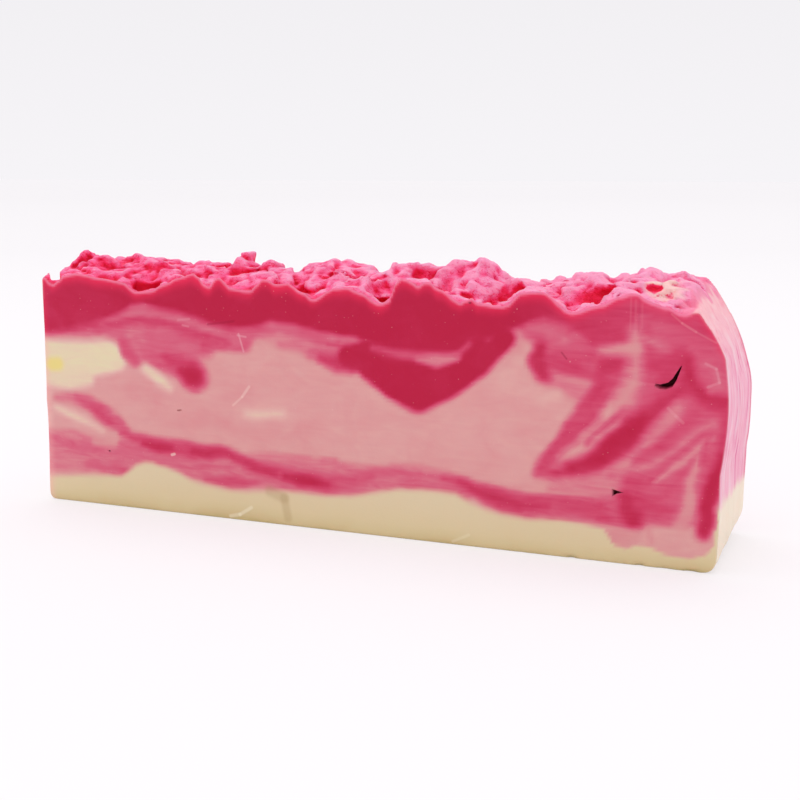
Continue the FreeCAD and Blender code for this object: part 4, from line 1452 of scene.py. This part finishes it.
@dataclass
class SoapBar:
    """The whole bar as one closed mesh."""

    walls: FrameWalls
    marbling: Marbling = field(default_factory=Marbling)
    finish: SoapFinish = field(default_factory=SoapFinish)
    # Crescent tear in the front face: x, z, half width.
    slit: tuple = (
        (109.4, 61.5, 0.55), (111.2, 61.0, 0.9), (113.0, 60.9, 1.15), (114.8, 61.9, 1.1),
        (116.2, 63.6, 0.8), (117.4, 66.0, 0.55), (118.6, 68.8, 0.2),
    )
    slit_depth: float = 3.2
    # Three-cornered void lower down: x, z.
    void: tuple = ((96.4, 25.7), (96.6, 22.9), (98.2, 23.9), (100.8, 24.7), (98.6, 25.1))
    void_depth: float = 2.4
    # How much redder than its depth makes it the torn top is along the bar.
    redness: tuple = ((-134, 0.3), (-60, 0.16), (0, 0.06), (60, -0.1), (100, -0.2), (134, -0.22))
    # Small round voids: x, z, radius.
    pinholes: tuple = ((-104.0, 22.0, 0.55), (-71.5, 40.5, 0.3))
    # Parts of the front face whose voids get painted shade inside: least x, most x, least z, most z.
    shaded_voids: tuple = ((108.0, 120.0, 58.0, 71.0), (95.0, 102.0, 21.5, 27.0),
                     (-106.0, -102.0, 20.0, 24.0))
    # Cream lump in the torn top: x, y, radii along and across.
    cream_lump: tuple = (109.0, -13.0, 7.0, 7.5)
    # How far the recess of a flat place and of a deep one is, and how much painted shade a cave adds.
    recess_span: tuple = (0.34, 0.78)
    cave_painted_shade: float = 0.5
    # Where along the bar the painted red glow of the rim fades, and how much of it goes.
    painted_glow_fade: tuple = (92.0, 112.0, 0.6)

    def build(self) -> bpy.types.Object:
        """Build and dress the bar.

        Returns:
            The finished object, in metres.
        """
        outline = Outline(self.walls)
        crown = TornCrown(self.walls, outline)
        crown_points, crown_quads = crown.build()
        block = CastBlock(outline, crown.seam)
        block_points, block_faces, top_ring = self._cut_voids(*block.build())
        loop = np.array(border_loop(crown_quads))
        offset = len(block_points)
        strip = zip_rings(top_ring, loop + offset, outline.travel(block_points[top_ring]),
                          outline.travel(crown_points[loop]))
        points = np.concatenate([block_points, crown_points])
        faces = block_faces + strip + [tuple(quad) for quad in (crown_quads + offset).tolist()]
        bar = mesh_object("swirled_bar", points, faces)
        bar.data.validate()
        LOG.info("skin: crown %d quads, block %d faces", len(crown_quads), len(block_faces))
        self._store_fields(bar, outline, crown)
        bar.data.shade_smooth()
        bar.data.materials.append(self.finish.build())
        return bar

    def _cut_voids(self, points: Array, faces: list[tuple], ring: Array
                   ) -> tuple[Array, list[tuple], Array]:
        """Cut the crescent tear and the other voids out of the block's front face.

        Args:
            points: The block's points.
            faces: Its faces, open at the seam.
            ring: The point numbers of its highest ring.

        Returns:
            The same three for the block with its voids.
        """
        front = self.walls.low[1]
        prisms = [self._prism(self._slit_sides(), front, self.slit_depth),
                  self._prism(np.array(self.void), front, self.void_depth)]
        for x, z, radius in self.pinholes:
            angles = np.linspace(0.0, 2.0 * math.pi, 9)[:-1]
            circle = np.column_stack([x + radius * np.cos(angles),
                                      z + 0.8 * radius * np.sin(angles)])
            prisms.append(self._prism(circle, front, 2.0 * radius))
        cutter_points, cutter_faces = [], []
        for part_points, part_faces in prisms:
            cutter_faces += [tuple(number + len(cutter_points) for number in face)
                             for face in part_faces]
            cutter_points += part_points
        body = mesh_object("block", points, faces + [tuple(ring.tolist())])
        cutter = mesh_object("void_shapes", np.array(cutter_points), cutter_faces)
        modifier = body.modifiers.new("voids", "BOOLEAN")
        modifier.operation = "DIFFERENCE"
        modifier.solver = "EXACT"
        modifier.object = cutter
        bpy.context.view_layer.update()
        shown = body.evaluated_get(bpy.context.evaluated_depsgraph_get())
        cut = bpy.data.meshes.new_from_object(shown)
        cut_points = points_of(cut)
        high = cut_points[:, 2] > points[ring, 2].min() - 0.01
        cut_faces = [tuple(face.vertices) for face in cut.polygons
                     if not all(high[number] for number in face.vertices)]
        numbers = np.nonzero(high)[0]
        gaps = np.linalg.norm(points[ring][:, None] - cut_points[numbers][None], axis=2)
        for part in (body, cutter):
            mesh = part.data
            bpy.data.objects.remove(part)
            bpy.data.meshes.remove(mesh)
        bpy.data.meshes.remove(cut)
        return cut_points, cut_faces, numbers[gaps.argmin(axis=1)]

    def _slit_sides(self) -> Array:
        """Return the tear's outline, down its lower side and back along its upper one."""
        path = np.array(self.slit)
        way = np.gradient(path[:, :2], axis=0)
        way /= np.linalg.norm(way, axis=1)[:, None]
        off = np.column_stack([way[:, 1], -way[:, 0]]) * path[:, 2:]
        wobble = 0.16 * np.sin(np.arange(len(path)) * 2.3)[:, None]
        return np.concatenate([path[:, :2] + off * (1.0 + wobble),
                               (path[:, :2] - off * (1.0 - wobble))[::-1]])

    @staticmethod
    def _prism(ring: Array, front: float, depth: float) -> tuple[list, list]:
        """Return a closed prism on an outline in the front face, narrower at its floor.

        Args:
            ring: The outline, x and z a row, anticlockwise seen from the front.
            front: The front face's y.
            depth: How deep the prism reaches.

        Returns:
            Its points and faces.
        """
        middle = ring.mean(axis=0)
        floor = middle + (ring - middle) * 0.72
        count = len(ring)
        points = [(x, front - 1.0, z) for x, z in ring]
        points += [(x, front + depth, z) for x, z in floor]
        faces = [tuple(range(count)), tuple(range(2 * count - 1, count - 1, -1))]
        for place in range(count):
            after = (place + 1) % count
            faces.append((after, place, count + place, count + after))
        return points, faces

    def _store_fields(self, bar: bpy.types.Object, outline: Outline, crown: TornCrown) -> None:
        """Write each point's tone and the other values that the finish reads."""
        mesh = bar.data
        points = points_of(mesh)
        x, y, z = points.T
        tone, cream = self.marbling.fields(points)
        above = z > crown.seam - 0.2
        torn = np.where(above, crown.grid.sample(points, crown.torn_share), 0.0)
        # The recess paints shade on the torn top, and the caves add more.
        recess = crown.grid.sample(points, crown.recess)
        inward = np.minimum(y - outline.front, outline.back - y)
        recess = smoothstep(*self.recess_span, recess) + 0.4 * smoothstep(2.2, 0.3, inward)
        recess += np.interp(x, *zip(*self.redness))
        recess += self.cave_painted_shade * crown.grid.sample(points, crown.hollow)
        ragged = 3.0 * ValueNoise(53).at(x / 4.0, y / 4.0, z / 4.0)
        shoulder = smoothstep(-2.5, 2.5, x + ragged - (self.walls.high[0] - crown.shoulder))
        torn = torn * (1.0 - shoulder)
        gap_right = outline.end(1, y, z) - x
        gap_left = x - outline.end(-1, y, z)
        wall = smoothstep(2.4, 1.2, np.minimum(gap_right, gap_left)) * smoothstep(0.0, 0.9, inward)
        rim = self._rim_height(x, crown, front=True)
        back_rim = self._rim_height(x, crown, front=False)
        edge = np.where(y < 0.0, rim, back_rim) - z
        wall = np.maximum(wall, shoulder * (z > crown.seam) * smoothstep(0.0, 0.9, inward))
        # Painted glow under the rims: strongest at the rim and gone 5.6 mm below it.
        glow = smoothstep(5.6, -0.5, edge) ** 1.3 * (1.0 - torn)
        fade_start, fade_end, fade = self.painted_glow_fade
        glow *= 1.0 - fade * smoothstep(fade_start, fade_end, x)
        lump_x, lump_y, along, across = self.cream_lump
        lump = np.hypot((x - lump_x) / along, (y - lump_y) / across)
        peach = smoothstep(1.3, 0.6, lump + 0.35 * ValueNoise(57).at(x / 3.0, y / 3.0, z / 3.0))
        # Painted shade inside the slit and voids, within the listed parts of the front face.
        in_slit = (np.abs(y - outline.front) > 0.15) & (y < outline.front + self.slit_depth + 0.2)
        in_shaded_void = np.any([(x > least_x) & (x < most_x) & (z > least_z) & (z < most_z)
                           for least_x, most_x, least_z, most_z in self.shaded_voids], axis=0)
        pit = (in_slit & in_shaded_void).astype(float)
        for name, values in (("tone", tone), ("cream", cream), ("torn", torn),
                             ("recess", recess), ("wall", wall * (1.0 - torn)), ("glow", glow),
                             ("pit", pit), ("peach", peach)):
            layer = mesh.attributes.new(name, "FLOAT", "POINT")
            layer.data.foreach_set("value", values.astype(np.float32))

    @staticmethod
    def _rim_height(x: Array, crown: TornCrown, front: bool) -> Array:
        """Return the height of the front or back rim above each place along the bar."""
        xs, ys, _ = crown.grid.axes()
        row = 4 if front else len(ys) - 5
        return np.interp(x, xs, crown.top_height[:, row])


@dataclass(frozen=True)
class Studio:
    """Plain pale floor, soft light and the camera of the photograph."""

    camera_place: tuple[float, float, float] = (198.5, -452.8, 130.7)
    turn: float = 22.8
    dip: float = 9.85
    focal_pixels: float = 1325.0
    image_pixels: float = 800.0
    sensor: float = 36.0
    floor_half: float = 15000.0
    room_light: float = 0.93
    sun_light: float = 0.8
    sun_softness: float = 60.0
    sun_from: tuple[float, float, float] = (-0.15, 0.1, 0.95)
    # How much of the floor that the camera sees is its own colour rather than light and shadow.
    floor_evenness: float = 0.55
    # How far out the floor's colours go on changing, its colour by that distance to the camera,
    # and the colour that it takes light with.
    floor_reach: float = 6000.0
    floor_seen: tuple = ((0.0, "fffcff"), (0.12, "fdfbfe"), (0.3, "faf8fb"), (1.0, "f8f6f9"))
    floor_own: tuple = ((0.0, "f5f2f4"), (0.12, "f1eef0"), (0.3, "ebe8ea"), (1.0, "e6e3e5"))
    # The room: the colour of its light, and what the camera sees low down and higher up.
    room_colour: str = "fffdfe"
    room_low: str = "f6f4f7"
    room_high: str = "f2f0f3"
    room_high_from: float = 0.12

    def build(self) -> None:
        """Set up the floor, the light and the camera."""
        self._floor()
        self._world()
        self._sun()
        self._camera()
        bpy.context.scene.view_settings.view_transform = "Standard"

    def _floor(self) -> None:
        """Lay the floor, which is nearly white to the camera and keeps the bar's shadow."""
        half = self.floor_half * MM
        mesh = bpy.data.meshes.new("table")
        mesh.from_pydata([(-half, -half, 0), (half, -half, 0), (half, half, 0), (-half, half, 0)],
                         [], [(0, 1, 2, 3)])
        floor = bpy.data.objects.new("table", mesh)
        bpy.context.scene.collection.objects.link(floor)
        shade = Shade("pale_table")
        length = shade.tree.nodes.new("ShaderNodeVectorMath")
        length.operation = "LENGTH"
        shade.feed(length.inputs[0], shade.place((1.0, 1.0, 1.0)))
        distance = shade.math("DIVIDE", length.outputs["Value"], self.floor_reach, clamp=True)
        colour = shade.ramp(distance, self.floor_seen)
        own = shade.ramp(distance, self.floor_own)
        shade.feed(shade.surface.inputs["Base Color"], own)
        shade.surface.inputs["Roughness"].default_value = 0.8
        shade.surface.inputs["Specular IOR Level"].default_value = 0.1
        glow = shade.tree.nodes.new("ShaderNodeEmission")
        shade.feed(glow.inputs["Color"], colour)
        mix = shade.tree.nodes.new("ShaderNodeMixShader")
        path = shade.tree.nodes.new("ShaderNodeLightPath")
        shade.feed(mix.inputs["Fac"],
                   shade.math("MULTIPLY", path.outputs["Is Camera Ray"], self.floor_evenness))
        shade.feed(mix.inputs[1], shade.surface.outputs[0])
        shade.feed(mix.inputs[2], glow.outputs[0])
        shade.feed(shade.output.inputs["Surface"], mix.outputs[0])
        mesh.materials.append(shade.material)

    def _world(self) -> None:
        """Light the room evenly, nearly white to the camera and a little greyer higher up."""
        world = bpy.data.worlds.new("white_room")
        bpy.context.scene.world = world
        world.use_nodes = True
        nodes, links = world.node_tree.nodes, world.node_tree.links
        nodes.clear()
        output = nodes.new("ShaderNodeOutputWorld")
        mix = nodes.new("ShaderNodeMixShader")
        light = nodes.new("ShaderNodeBackground")
        light.inputs["Color"].default_value = srgb(self.room_colour)
        light.inputs["Strength"].default_value = self.room_light
        backdrop = nodes.new("ShaderNodeBackground")
        coordinates = nodes.new("ShaderNodeTexCoord")
        parts = nodes.new("ShaderNodeSeparateXYZ")
        ramp = nodes.new("ShaderNodeValToRGB")
        ramp.color_ramp.elements[0].color = srgb(self.room_low)
        ramp.color_ramp.elements[1].color = srgb(self.room_high)
        ramp.color_ramp.elements[1].position = self.room_high_from
        links.new(coordinates.outputs["Generated"], parts.inputs[0])
        links.new(parts.outputs["Z"], ramp.inputs[0])
        links.new(ramp.outputs["Color"], backdrop.inputs["Color"])
        path = nodes.new("ShaderNodeLightPath")
        seen = path.outputs["Is Camera Ray"]
        for name in ("Is Glossy Ray", "Is Transmission Ray"):
            either = nodes.new("ShaderNodeMath")
            either.operation = "MAXIMUM"
            links.new(seen, either.inputs[0])
            links.new(path.outputs[name], either.inputs[1])
            seen = either.outputs[0]
        links.new(seen, mix.inputs["Fac"])
        links.new(light.outputs[0], mix.inputs[1])
        links.new(backdrop.outputs[0], mix.inputs[2])
        links.new(mix.outputs[0], output.inputs["Surface"])

    def _sun(self) -> None:
        """Add one very soft light from above, behind and to the right."""
        light = bpy.data.lights.new("window", "SUN")
        light.energy = self.sun_light
        light.angle = math.radians(self.sun_softness)
        lamp = bpy.data.objects.new("window", light)
        lamp.rotation_euler = Vector(self.sun_from).to_track_quat("Z", "Y").to_euler()
        bpy.context.scene.collection.objects.link(lamp)

    def _camera(self) -> None:
        """Set the camera where the photograph was taken from."""
        data = bpy.data.cameras.new("camera")
        data.sensor_width = self.sensor
        data.lens = self.focal_pixels / self.image_pixels * self.sensor
        data.clip_start = 0.01
        camera = bpy.data.objects.new("camera", data)
        bpy.context.scene.collection.objects.link(camera)
        turn, dip = math.radians(self.turn), math.radians(self.dip)
        camera.matrix_world = (Matrix.Translation(Vector(self.camera_place) * MM)
                               @ Matrix.Rotation(turn, 4, "Z")
                               @ Matrix.Rotation(math.pi / 2.0 - dip, 4, "X"))
        bpy.context.scene.camera = camera


def main() -> None:
    """Build the bar and its surroundings in order."""
    logging.basicConfig(level=logging.INFO, format="%(name)s %(message)s")
    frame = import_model()
    walls = FrameWalls(frame["nodes"][NODE])
    bar = SoapBar(walls).build()
    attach(bar, BODY)
    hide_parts(NODE)
    LOG.info("swirled_bar: %d points", len(bar.data.vertices))
    Studio().build()
    LOG.info("studio set")
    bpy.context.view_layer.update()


if __name__ == "__main__":
    main()
